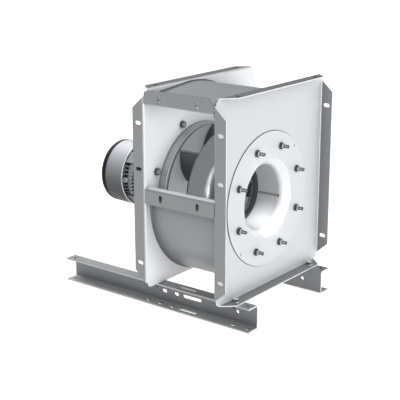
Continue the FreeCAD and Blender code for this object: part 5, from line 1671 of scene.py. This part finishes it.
@dataclass
class Impeller:
    """The welded impeller: backplate, curved blades, cover ring and hub."""

    shaft: ShaftLine
    radius: float = 177.5 * MM
    back_front: float = -55 * MM
    back_rear: float = -52 * MM
    back_bore: float = 14 * MM
    outlet_width: float = 64.5 * MM
    cover_wall: float = 2.5 * MM
    cover_slope: float = 7.7
    cover_corner: float = 28 * MM
    neck: float = 90.75 * MM
    neck_front: float = -174 * MM
    broken_rim: float = 0.4 * MM
    blade_count: int = 7
    blade_thickness: float = 3 * MM
    blade_radius: float = 100 * MM
    blade_distance: float = 113.5 * MM
    blade_root: float = 95 * MM
    blade_tip: float = 176.5 * MM
    first_blade: float = 102.6
    hub_flange: float = 50 * MM
    hub_flange_thickness: float = 8 * MM
    hub_boss: float = 27 * MM
    hub_front: float = -95 * MM
    hub_bore: float = 12.05 * MM
    rivet_circle: float = 39 * MM
    rivet_head: float = 5.5 * MM
    rivet_height: float = 2 * MM
    end_washer: float = 18 * MM
    end_washer_thickness: float = 4 * MM
    end_washer_bore: float = 4.05 * MM
    end_screw_radius: float = 4 * MM
    end_screw_length: float = 25 * MM
    end_head_width: float = 13 * MM
    end_head_height: float = 5.3 * MM

    def build(self) -> None:
        """Build the impeller's pieces."""
        self.backplate()
        self.cover_ring()
        for number in range(self.blade_count):
            self.blade(number)
        self.weld_seams()
        self.hub()
        self.rivets()
        self.shaft_end()

    def corner_run(self) -> float:
        """Length from the cover's corner to the start of its arc, on the flow side."""
        return (self.cover_corner + self.cover_wall) * math.tan(math.radians((90 - self.cover_slope) / 2))

    def rim_y(self) -> float:
        """Place of the cover's flow side at the rim."""
        return self.back_front - self.outlet_width

    def corner_y(self) -> float:
        """Place where the cover's slope would meet its neck."""
        return self.rim_y() - (self.radius - self.neck) * math.tan(math.radians(self.cover_slope))

    def flow_y(self, radius: float) -> float:
        """Place of the cover's flow side along the shaft.

        Args:
            radius: distance from the shaft line.

        Returns:
            The place in metres.
        """
        slope = math.radians(self.cover_slope)
        bend = self.cover_corner + self.cover_wall
        run = self.corner_run()
        if radius >= self.neck + run * math.cos(slope):
            return self.corner_y() + (radius - self.neck) * math.tan(slope)
        inward = radius - (self.neck + bend)
        return self.corner_y() - run + math.sqrt(max(bend * bend - inward * inward, 0.0))

    def backplate(self) -> None:
        """The flat disc with lightly broken edges."""
        mesh = bmesh.new()
        corners = ((self.back_bore, self.back_front), (self.radius, self.back_front),
                   (self.radius, self.back_rear), (self.back_bore, self.back_rear))
        lathe(mesh, soften([(*corner, 0.5 * MM) for corner in corners], 3), self.shaft.point, 192)
        self.split_disc(mesh)
        finish_piece("impeller_disc", mesh, (SHADED_DISC_SHEET, DEEP_PAINTED_SHADE), ("impeller_backplate",),
                     body=Body.ROTOR)

    def split_disc(self, mesh: Mesh) -> None:
        """Part the disc's front at the blade roots, and give its middle and its rim near-black painted
        shade.

        Args:
            mesh: the disc's mesh.
        """
        broad_area = 1e-4
        length_slack, root_band, rim_band = 40 * MM, 3 * MM, 0.7 * MM
        broad = [face for face in mesh.faces if face.calc_area() > broad_area]
        cuts = {edge for face in broad for edge in face.edges
                if abs((edge.verts[0].co - edge.verts[1].co).length - self.radius) < length_slack}
        share = 1 - (self.blade_root - self.back_bore) / (self.radius - self.back_bore)
        for edge in cuts:
            outer = max(edge.verts, key=lambda vert: (vert.co - self.shaft.point).xz.length)
            bmesh.utils.edge_split(edge, outer, share)
        for face in [face for face in mesh.faces if face.calc_area() > broad_area]:
            middle = [vert for vert in face.verts
                      if abs((vert.co - self.shaft.point).xz.length - self.blade_root) < root_band]
            if len(middle) == 2:
                bmesh.utils.face_split(face, middle[0], middle[1])
        # Painted shade: the disc's middle and its rim take the near-black finish.
        for face in mesh.faces:
            reach = (face.calc_center_median() - self.shaft.point).xz.length
            if reach < self.blade_root - root_band or reach > self.radius - rim_band:
                face.material_index = 1

    def cover_ring(self) -> None:
        """The spun cover ring, curved from its rim into the neck."""
        mesh = bmesh.new()
        flow: list[Point] = []
        slope = math.radians(self.cover_slope)
        normal = Vector((math.sin(slope), -math.cos(slope)))
        straight = self.neck + self.corner_run() * math.cos(slope)
        for step in range(9):
            reach = self.radius + (straight - self.radius) * step / 8
            flow.append((reach, self.flow_y(reach)))
        bend = self.cover_corner + self.cover_wall
        centre = (self.neck + bend, self.corner_y() - self.corner_run())
        bend_start, bend_end, bend_facets = 90 + self.cover_slope, 180.0, 22
        flow += arc_line(centre, bend, bend_start, bend_end, bend_facets)[1:]
        flow.append((self.neck, self.neck_front + self.broken_rim))
        outside = self.neck + self.cover_wall
        outer: list[Point] = [(outside, self.neck_front + self.broken_rim)]
        outer += arc_line(centre, self.cover_corner, bend_end, bend_start, bend_facets)
        rim_front = Vector((self.radius, self.rim_y())) + normal * self.cover_wall
        outer.append((self.radius - 0.1 * MM, rim_front.y + (self.radius - rim_front.x) * math.tan(slope)))
        lip = [(self.neck + self.broken_rim, self.neck_front), (outside - self.broken_rim, self.neck_front)]
        lathe(mesh, flow + lip + outer, self.shaft.point, 192)
        finish_piece("impeller_cover_ring", mesh, (SHADED_COVER_SHEET,), ("impeller_shroud",), body=Body.ROTOR,
                     sharp=34.0)

    def blade_line(self, radius: float, steps: int) -> list[Vector]:
        """One face of a blade seen along the shaft, from root to tip.

        Args:
            radius: radius of the face's arc.
            steps: facets along it.

        Returns:
            Points with X and Z counted from the shaft line, before the blade is turned into place.
        """
        distance = self.blade_distance
        line = []
        for step in range(steps + 1):
            reach = self.blade_root + (self.blade_tip - self.blade_root) * step / steps
            cosine = (distance ** 2 + radius ** 2 - reach ** 2) / (2 * distance * radius)
            sine = math.sqrt(max(1 - cosine ** 2, 0.0))
            line.append(Vector((distance - radius * cosine, radius * sine)))
        return line

    def turned(self, point: Vector, number: int) -> Vector:
        """A point of a blade seen along the shaft, turned to the place of one blade.

        Args:
            point: X and Z counted from the shaft line, before the turn.
            number: the blade's number, from 0.

        Returns:
            X and Z counted from the shaft line, after the turn.
        """
        angle = math.radians(self.first_blade + 360 * number / self.blade_count)
        return Vector((point.x * math.cos(angle) - point.y * math.sin(angle),
                       point.x * math.sin(angle) + point.y * math.cos(angle)))

    def blade(self, number: int) -> None:
        """One backward-curved blade, its front edge following the cover ring.

        Args:
            number: the blade's number, from 0.
        """
        mesh = bmesh.new()
        steps, rows = 40, 6
        layers = []
        for radius in (self.blade_radius, self.blade_radius - self.blade_thickness):
            line = self.blade_line(radius, steps)
            layer = []
            for point in line:
                place = self.turned(point, number)
                depth = self.flow_y(point.length) + 0.02 * MM - self.back_front
                layer.append([mesh.verts.new(self.shaft.beside(place, self.back_front + depth * row / rows))
                              for row in range(rows + 1)])
            layers.append(layer)
            for near, far in zip(layer, layer[1:]):
                strip(mesh, near, far)
        for row in (0, -1):
            strip(mesh, [column[row] for column in layers[0]], [column[row] for column in layers[1]])
        for end in (0, -1):
            strip(mesh, layers[0][end], layers[1][end], 1)
        # The blade's faces and edges take darkened finishes: painted shade.
        finish_piece(f"blade_{number + 1}_sheet", mesh, (SHADED_BLADE_SHEET, SHADED_BLADE_EDGE),
                     (f"impeller_blade_{number + 1}",), body=Body.ROTOR, bevel=0.4 * MM, sharp=50.0)

    def weld_seams(self) -> None:
        """Thin weld beads where the blades meet the disc and the cover ring."""
        mesh = bmesh.new()
        bead = 1.6 * MM
        for number in range(self.blade_count):
            hollow = self.blade_radius - self.blade_thickness
            for radius, side in ((self.blade_radius, 1.0), (hollow, -1.0)):
                line = self.blade_line(radius, 120)
                self.bead(mesh, number, line, side, bead, lambda reach: self.back_front, -1.0)
                self.bead(mesh, number, line, side, bead, self.flow_y, 1.0)
        finish_piece("impeller_weld_seams", mesh, (WELD,), body=Body.ROTOR, sharp=80.0)

    def bead(self, mesh: Mesh, number: int, line: Sequence[Vector], side: float, size: float,
             level: Callable[[float], float], rise: float) -> None:
        """One rippled weld bead in the corner between a blade and a sheet.

        Args:
            mesh: the mesh that gets the faces.
            number: the blade's number.
            line: the blade face's line.
            side: which side of the blade it lies on.
            size: the bead's leg length.
            level: place of the sheet's surface at a distance from the shaft line.
            rise: which way from that surface the bead rises along Y.
        """
        middle = Vector((self.blade_distance, 0.0))
        belly_share, buried, sunk = 0.62, 0.3 * MM, 0.25 * MM
        rows = []
        for index, point in enumerate(line[2:-2]):
            ripple = 1 + 0.10 * math.sin(index * 2.1) + 0.05 * math.sin(index * 0.7 + number)
            leg = size * ripple
            outward = (point - middle).normalized() * side
            base = level(point.length)
            corner = self.turned(point - outward * buried, number)
            foot = self.turned(point + outward * leg, number)
            belly = self.turned(point + outward * leg * belly_share, number)
            inner = base - rise * sunk
            section = ((corner, base + rise * leg), (belly, base + rise * leg * belly_share), (foot, inner),
                       (corner, inner))
            rows.append([mesh.verts.new(self.shaft.beside(offset, y)) for offset, y in section])
        skin_tube(mesh, rows)

    def hub(self) -> None:
        """The turned hub with its flange and boss."""
        mesh = bmesh.new()
        flange_front = self.back_front - self.hub_flange_thickness
        profile = soften([
            (self.hub_bore, self.hub_front, 0.6 * MM), (self.hub_boss, self.hub_front, 2.5 * MM),
            (self.hub_boss, flange_front, 3 * MM), (self.hub_flange, flange_front, 1 * MM),
            (self.hub_flange, self.back_front), (self.hub_bore, self.back_front)], 5)
        lathe(mesh, profile, self.shaft.point, 96)
        # Painted shade: the hub takes the near-black finish.
        finish_piece("turned_hub", mesh, (DEEP_PAINTED_SHADE,), ("impeller_hub",), body=Body.ROTOR)

    def rivets(self) -> None:
        """Six rivets with low domed heads on both sides."""
        mesh = bmesh.new()
        front = self.back_front - self.hub_flange_thickness
        for y, direction in ((front, INLET_WARD), (self.back_rear, MOTOR_WARD)):
            for point, way in self.shaft.ring(self.rivet_circle, 6, 0.0, y, direction):
                dome = [(0.0, 0.0), (self.rivet_head, 0.0)]
                for step in range(1, 9):
                    angle = math.pi / 2 * step / 8
                    dome.append((self.rivet_head * math.cos(angle), self.rivet_height * math.sin(angle)))
                spin_profile(mesh, dome, placed(point, way), 32, False)
        finish_piece("rivet_heads", mesh, (SHADED_STEEL,), ("hub_rivets",), body=Body.ROTOR,
                     sharp=50.0)

    def shaft_end(self) -> None:
        """The washer and the screw that hold the hub on the shaft."""
        washer = bmesh.new()
        front = self.hub_front - self.end_washer_thickness
        profile = soften([(self.end_washer_bore, front, BROKEN_EDGE), (self.end_washer, front, 0.8 * MM),
                          (self.end_washer, self.hub_front, BROKEN_EDGE),
                          (self.end_washer_bore, self.hub_front)], 4)
        lathe(washer, profile, self.shaft.point, 72)
        finish_piece("end_washer_turned", washer, (SHADED_STEEL,), ("shaft_end_washer",), body=Body.ROTOR)
        screw = bmesh.new()
        point = Vector((self.shaft.point.x, front, self.shaft.point.z))
        hexagon(screw, placed(point, INLET_WARD), self.end_head_width, self.end_head_height)
        shank = [(0.0, 0.0), (self.end_screw_radius, 0.0), (self.end_screw_radius, self.end_screw_length),
                 (0.0, self.end_screw_length)]
        spin_profile(screw, shank, placed(point, MOTOR_WARD), 24, False)
        finish_piece("end_screw_hex", screw, (ZINC, SHADED_STEEL), ("shaft_end_screw",), body=Body.ROTOR,
                     sharp=28.0)


@dataclass
class Motor:
    """The flange motor with its finned frame, rear shield, cowl and terminal box."""

    shaft: ShaftLine
    fasteners: Fasteners
    flange_thickness: float = 12 * MM
    flange_circle: float = 82.5 * MM
    flange_bolt_length: float = 20 * MM
    flange_bolt_plain: float = 12 * MM
    cowl_screw_y: float = 179 * MM
    cowl_radius: float = 94 * MM
    cowl_bend_y: float = 250 * MM
    cowl_front_y: float = 185.6 * MM
    rim_bead: float = 1.6 * MM
    rim_inset: float = 0.6 * MM
    rim_facets: int = 16
    fin_radius: float = 86 * MM
    fin_tip_band: float = 0.9 * MM
    groove_radius: float = 72 * MM
    screw_head: float = 4.5 * MM
    screw_height: float = 3.5 * MM
    screw_shank: float = 2.5 * MM
    cowl_screw_length: float = 15 * MM
    lid_screw_length: float = 21 * MM
    shield_circle: float = 80 * MM
    shield_end: float = 192 * MM
    shield_head: float = 5 * MM
    shield_head_height: float = 4 * MM
    shield_shank: float = 3 * MM
    shield_screw_length: float = 46 * MM
    lid_top: float = 452 * MM
    lid_screw_reach: float = 42 * MM
    box_middle_y: float = 100 * MM

    def build(self) -> None:
        """Build the motor's pieces."""
        for node in ("motor_housing", "rear_end_shield"):
            self.finned_casting(node)
        dressed_solid("drive_end_flange", CAST_PAINT, 0.5 * MM)
        self.cowl()
        dressed_solid("motor_cooling_fan", BLACK_PLASTIC, 0.5 * MM, Body.ROTOR)
        for node in ("motor_shaft", "shaft_key", "rotor_core", "stator_core", "front_bearing_inner_ring",
                     "front_bearing_outer_ring", "rear_bearing_inner_ring", "rear_bearing_outer_ring"):
            paint_node(node, TURNED_STEEL)
        paint_node("stator_winding", COPPER)
        self.flange_fasteners()
        self.small_screws()
        self.terminal_box()

    def finned_casting(self, node: str) -> None:
        """A casting with fins: its paint on the fin tips, near-black painted shade in the grooves between
        them.

        Args:
            node: the solid's name.
        """
        mesh = joined_copy(node)
        for face in mesh.faces:
            reach = (face.calc_center_median() - self.shaft.point).xz.length
            between = self.groove_radius < reach < self.fin_radius - self.fin_tip_band
            if between and abs(face.normal.y) < 0.5:
                face.material_index = 1
        finish_piece(f"{node}_dressed", mesh, (CAST_PAINT, SHADED_GROOVE_PAINT), (node,),
                     bevel=0.4 * MM)

    def cowl(self) -> None:
        """The pressed cowl, near black behind the bend as painted shade, with a rolled front rim."""
        mesh = joined_copy("fan_cowl")
        cut_across(mesh, Vector((0.0, self.cowl_bend_y, 0.0)), MOTOR_WARD)
        for face in mesh.faces:
            if face.calc_center_median().y > self.cowl_bend_y:
                face.material_index = 1
        finish_piece("fan_cowl_dressed", mesh, (COWL_PAINT, SHADED_COWL_REAR), ("fan_cowl",),
                     bevel=0.4 * MM)
        rim = bmesh.new()
        middle = (self.cowl_radius - self.rim_inset, self.cowl_front_y)
        bead = arc_line(middle, self.rim_bead, 0.0, 360.0, self.rim_facets)[:-1]
        lathe(rim, bead, self.shaft.point, 144)
        finish_piece("cowl_rolled_rim", rim, (ROLLED_RIM,), sharp=60.0)

    def flange_fasteners(self) -> None:
        """The four bolts that hold the motor to its plate."""
        back = self.shaft.motor_face + self.flange_thickness
        washer = self.fasteners.washer_thickness
        ring = self.shaft.ring
        self.fasteners.washers("motor_flange_washer_set", "motor_flange_washers",
                               ring(self.flange_circle, 4, 45.0, back, MOTOR_WARD))
        self.fasteners.bolts("motor_flange_bolt_set", "motor_flange_bolts",
                             ring(self.flange_circle, 4, 45.0, back + washer, INLET_WARD),
                             self.flange_bolt_length, self.flange_bolt_plain)

    def small_screws(self) -> None:
        """The screws of the cowl, the rear shield and the box lid."""
        around = []
        for step in range(4):
            angle = math.pi / 2 * step
            outward = Vector((math.cos(angle), 0.0, math.sin(angle)))
            centre = Vector((self.shaft.point.x, self.cowl_screw_y, self.shaft.point.z))
            around.append((centre + outward * self.cowl_radius, -outward))
        self.fasteners.round_screws("cowl_screw_set", "cowl_screws", around, self.screw_head,
                                    self.screw_height, self.screw_shank, self.cowl_screw_length)
        shield = self.shaft.ring(self.shield_circle, 4, 45.0, self.shield_end, INLET_WARD)
        self.fasteners.round_screws("end_shield_screw_set", "end_shield_screws", shield, self.shield_head,
                                    self.shield_head_height, self.shield_shank, self.shield_screw_length)
        lid = []
        for side_x in (-1, 1):
            for side_y in (-1, 1):
                across = self.shaft.point.x + side_x * self.lid_screw_reach
                along = self.box_middle_y + side_y * self.lid_screw_reach
                lid.append((Vector((across, along, self.lid_top)), DOWN))
        self.fasteners.round_screws("lid_screw_set", "terminal_box_screws", lid, self.screw_head,
                                    self.screw_height, self.screw_shank, self.lid_screw_length)

    def terminal_box(self) -> None:
        """The terminal box, its lid, its board and its gland."""
        for node in ("terminal_box", "terminal_box_lid"):
            dressed_solid(node, CAST_PAINT, 1.2 * MM)
        for node in ("terminal_board", "cable_gland"):
            dressed_solid(node, BLACK_PLASTIC, 0.5 * MM)


@dataclass
class BaseRails:
    """The two channel rails and the bolts that hold the casing on them."""

    fasteners: Fasteners
    thickness: float = 4 * MM
    line_x: float = 181.5 * MM
    front_y: float = -275 * MM
    rear_y: float = -7 * MM
    rail_top: float = 68 * MM
    plate: float = 3 * MM
    bolt_end: float = 3 * MM
    bolt_plain: float = 10 * MM

    def build(self) -> None:
        """Build the rails and their fasteners."""
        for node in ("rail_left", "rail_right"):
            dressed_sheet(node, RAIL_DRESS, self.thickness, bevel=0.4 * MM)
        washer = self.fasteners.washer_thickness
        flange_top = self.rail_top + self.plate
        under = self.rail_top - self.thickness
        stack = 2 * washer + self.plate + self.thickness + self.fasteners.nut_height + self.bolt_end
        # Painted highlight: the base bolts' heads take the light copy of the zinc.
        self.fasteners.bolts("base_bolt_set", "base_bolts", self.corners(flange_top + washer, DOWN), stack,
                             self.bolt_plain, HIGHLIGHT_HEAD)
        self.fasteners.washers("base_washer_set", "base_washers",
                               self.corners(flange_top, UP) + self.corners(under, DOWN))
        self.fasteners.nuts("base_nut_set", "base_nuts", self.corners(under - washer, DOWN))

    def corners(self, z: float, direction: Vector) -> list[Place]:
        """The four base bolt places at one height."""
        return [(Vector((side * self.line_x, y, z)), direction) for side in (-1, 1)
                for y in (self.front_y, self.rear_y)]


def aim(item: bpy.types.Object, direction: Vector) -> None:
    """Turn a light so that it shines along a direction."""
    item.rotation_mode = "QUATERNION"
    item.rotation_quaternion = direction.to_track_quat("-Z", "Y")


@dataclass(frozen=True)
class Sun:
    """A distant soft light.

    Its fields are the direction from the object to it, its strength, how wide it looks in degrees, and
    whether it casts shadows.
    """

    name: str
    towards: tuple[float, float, float]
    strength: float
    width: float
    shadows: bool

    def add(self) -> None:
        """Add the light to the scene."""
        data = bpy.data.lights.new(self.name, "SUN")
        data.energy = self.strength
        data.angle = math.radians(self.width)
        data.use_shadow = self.shadows
        aim(place_object(self.name, data), -Vector(self.towards))


@dataclass(frozen=True)
class Spot:
    """A narrow light.

    Its fields are the point that it faces, the direction from there to the lamp and how far it is along
    it in metres, its power in watts, its beam's full width in degrees and the lamp's radius in metres.
    """

    name: str
    target: tuple[float, float, float]
    towards: tuple[float, float, float]
    distance: float
    power: float
    width: float
    radius: float

    EDGE_BLUR: ClassVar[float] = 0.9

    def add(self) -> None:
        """Add the light to the scene."""
        data = bpy.data.lights.new(self.name, "SPOT")
        data.energy = self.power
        data.spot_size = math.radians(self.width)
        data.spot_blend = self.EDGE_BLUR
        data.shadow_soft_size = self.radius
        item = place_object(self.name, data)
        reach = Vector(self.towards) * self.distance
        item.location = Vector(self.target) + reach
        aim(item, -reach)


SUNS = (
    Sun("inlet_light", (0.05, -0.97, 0.20), 5.25, 30.0, False),
    Sun("side_light", (-0.33, -0.94, -0.05), 2.0, 12.0, False),
    Sun("motor_light", (0.35, 0.75, 0.55), 0.6, 30.0, True),
    Sun("top_light", (0.0, 0.30, 0.95), 2.4, 25.0, True))
SPOTS = (
    Spot("throat_light", (-0.015, -0.2605, 0.312), (-0.35, -0.45, 0.82), 2.4, 560.0, 3.1, 0.03),
    Spot("cowl_light", (-0.015, 0.20, 0.33), (-0.20, 0.0, 0.98), 2.2, 400.0, 9.0, 0.10))


@dataclass
class Studio:
    """The pale floor, the soft lights and the camera."""

    camera_place: Vector = field(default_factory=lambda: Vector((-2.22539, -1.74426, 1.08323)))
    camera_right: Vector = field(default_factory=lambda: Vector((0.61276663, -0.79026035, -0.00237429)))
    camera_up: Vector = field(default_factory=lambda: Vector((0.2225847, 0.16970748, 0.96002886)))
    focal_length: float = 92.387
    sensor: float = 36.0
    nearest: float = 0.05
    farthest: float = 60.0
    horizon: float = 0.10
    overhead: float = 0.26
    fade_start: float = 0.15
    fade_end: float = 0.34
    floor_radii: tuple[float, ...] = (1.0, 4.0, 12.0, 40.0)
    floor_segments: int = 96

    def build(self) -> None:
        """Build the stage."""
        scene = bpy.context.scene
        scene.view_settings.view_transform = "Standard"
        self.floor()
        self.world()
        for light in SUNS + SPOTS:
            light.add()
        self.camera()

    def floor(self) -> None:
        """A wide round floor."""
        mesh = bmesh.new()
        rings = [vert_ring(mesh, radius, 0.0, Vector(), self.floor_segments) for radius in self.floor_radii]
        mesh.faces.new(rings[0])
        for inner, outer in zip(rings, rings[1:]):
            strip(mesh, inner + inner[:1], outer + outer[:1])
        bmesh.ops.transform(mesh, matrix=Matrix.Rotation(math.radians(-90), 4, "X"), verts=mesh.verts)
        bmesh.ops.recalc_face_normals(mesh, faces=mesh.faces)
        data = bpy.data.meshes.new("studio_floor")
        mesh.to_mesh(data)
        mesh.free()
        item = place_object("studio_floor", data)
        data.materials.append(FLOOR_PAPER.material())

    def world(self) -> None:
        """Pale air, dimmer along the horizon than overhead."""
        world = bpy.data.worlds.new("studio_air")
        bpy.context.scene.world = world
        world.use_nodes = True
        nodes, links = world.node_tree.nodes, world.node_tree.links
        direction = nodes.new("ShaderNodeTexCoord").outputs["Generated"]
        split = nodes.new("ShaderNodeSeparateXYZ")
        fall = nodes.new("ShaderNodeMapRange")
        fall.interpolation_type = "SMOOTHSTEP"
        for key, number in (("From Min", self.fade_start), ("From Max", self.fade_end),
                            ("To Min", self.horizon), ("To Max", self.overhead)):
            fall.inputs[key].default_value = number
        links.new(direction, split.inputs["Vector"])
        links.new(split.outputs["Z"], fall.inputs["Value"])
        links.new(fall.outputs["Result"], nodes["Background"].inputs["Color"])

    def camera(self) -> None:
        """The camera at the photograph's viewing angle."""
        data = bpy.data.cameras.new("view")
        data.sensor_width = self.sensor
        data.lens = self.focal_length
        data.clip_start = self.nearest
        data.clip_end = self.farthest
        item = place_object("view", data)
        back = self.camera_right.cross(self.camera_up)
        turn = Matrix((self.camera_right, self.camera_up, back)).transposed()
        item.matrix_world = Matrix.Translation(self.camera_place) @ turn.to_4x4()
        bpy.context.scene.camera = item


def main() -> None:
    """Build every sub-assembly and the studio."""
    logging.basicConfig(level=logging.INFO, format="%(message)s", stream=sys.stdout)
    shaft = ShaftLine()
    fasteners = Fasteners()
    Casing(shaft).build()
    InletNozzle(shaft, fasteners).build()
    HeatShield(shaft, fasteners).build()
    Impeller(shaft).build()
    Motor(shaft, fasteners).build()
    BaseRails(fasteners).build()
    Studio().build()


if __name__ == "__main__":
    main()
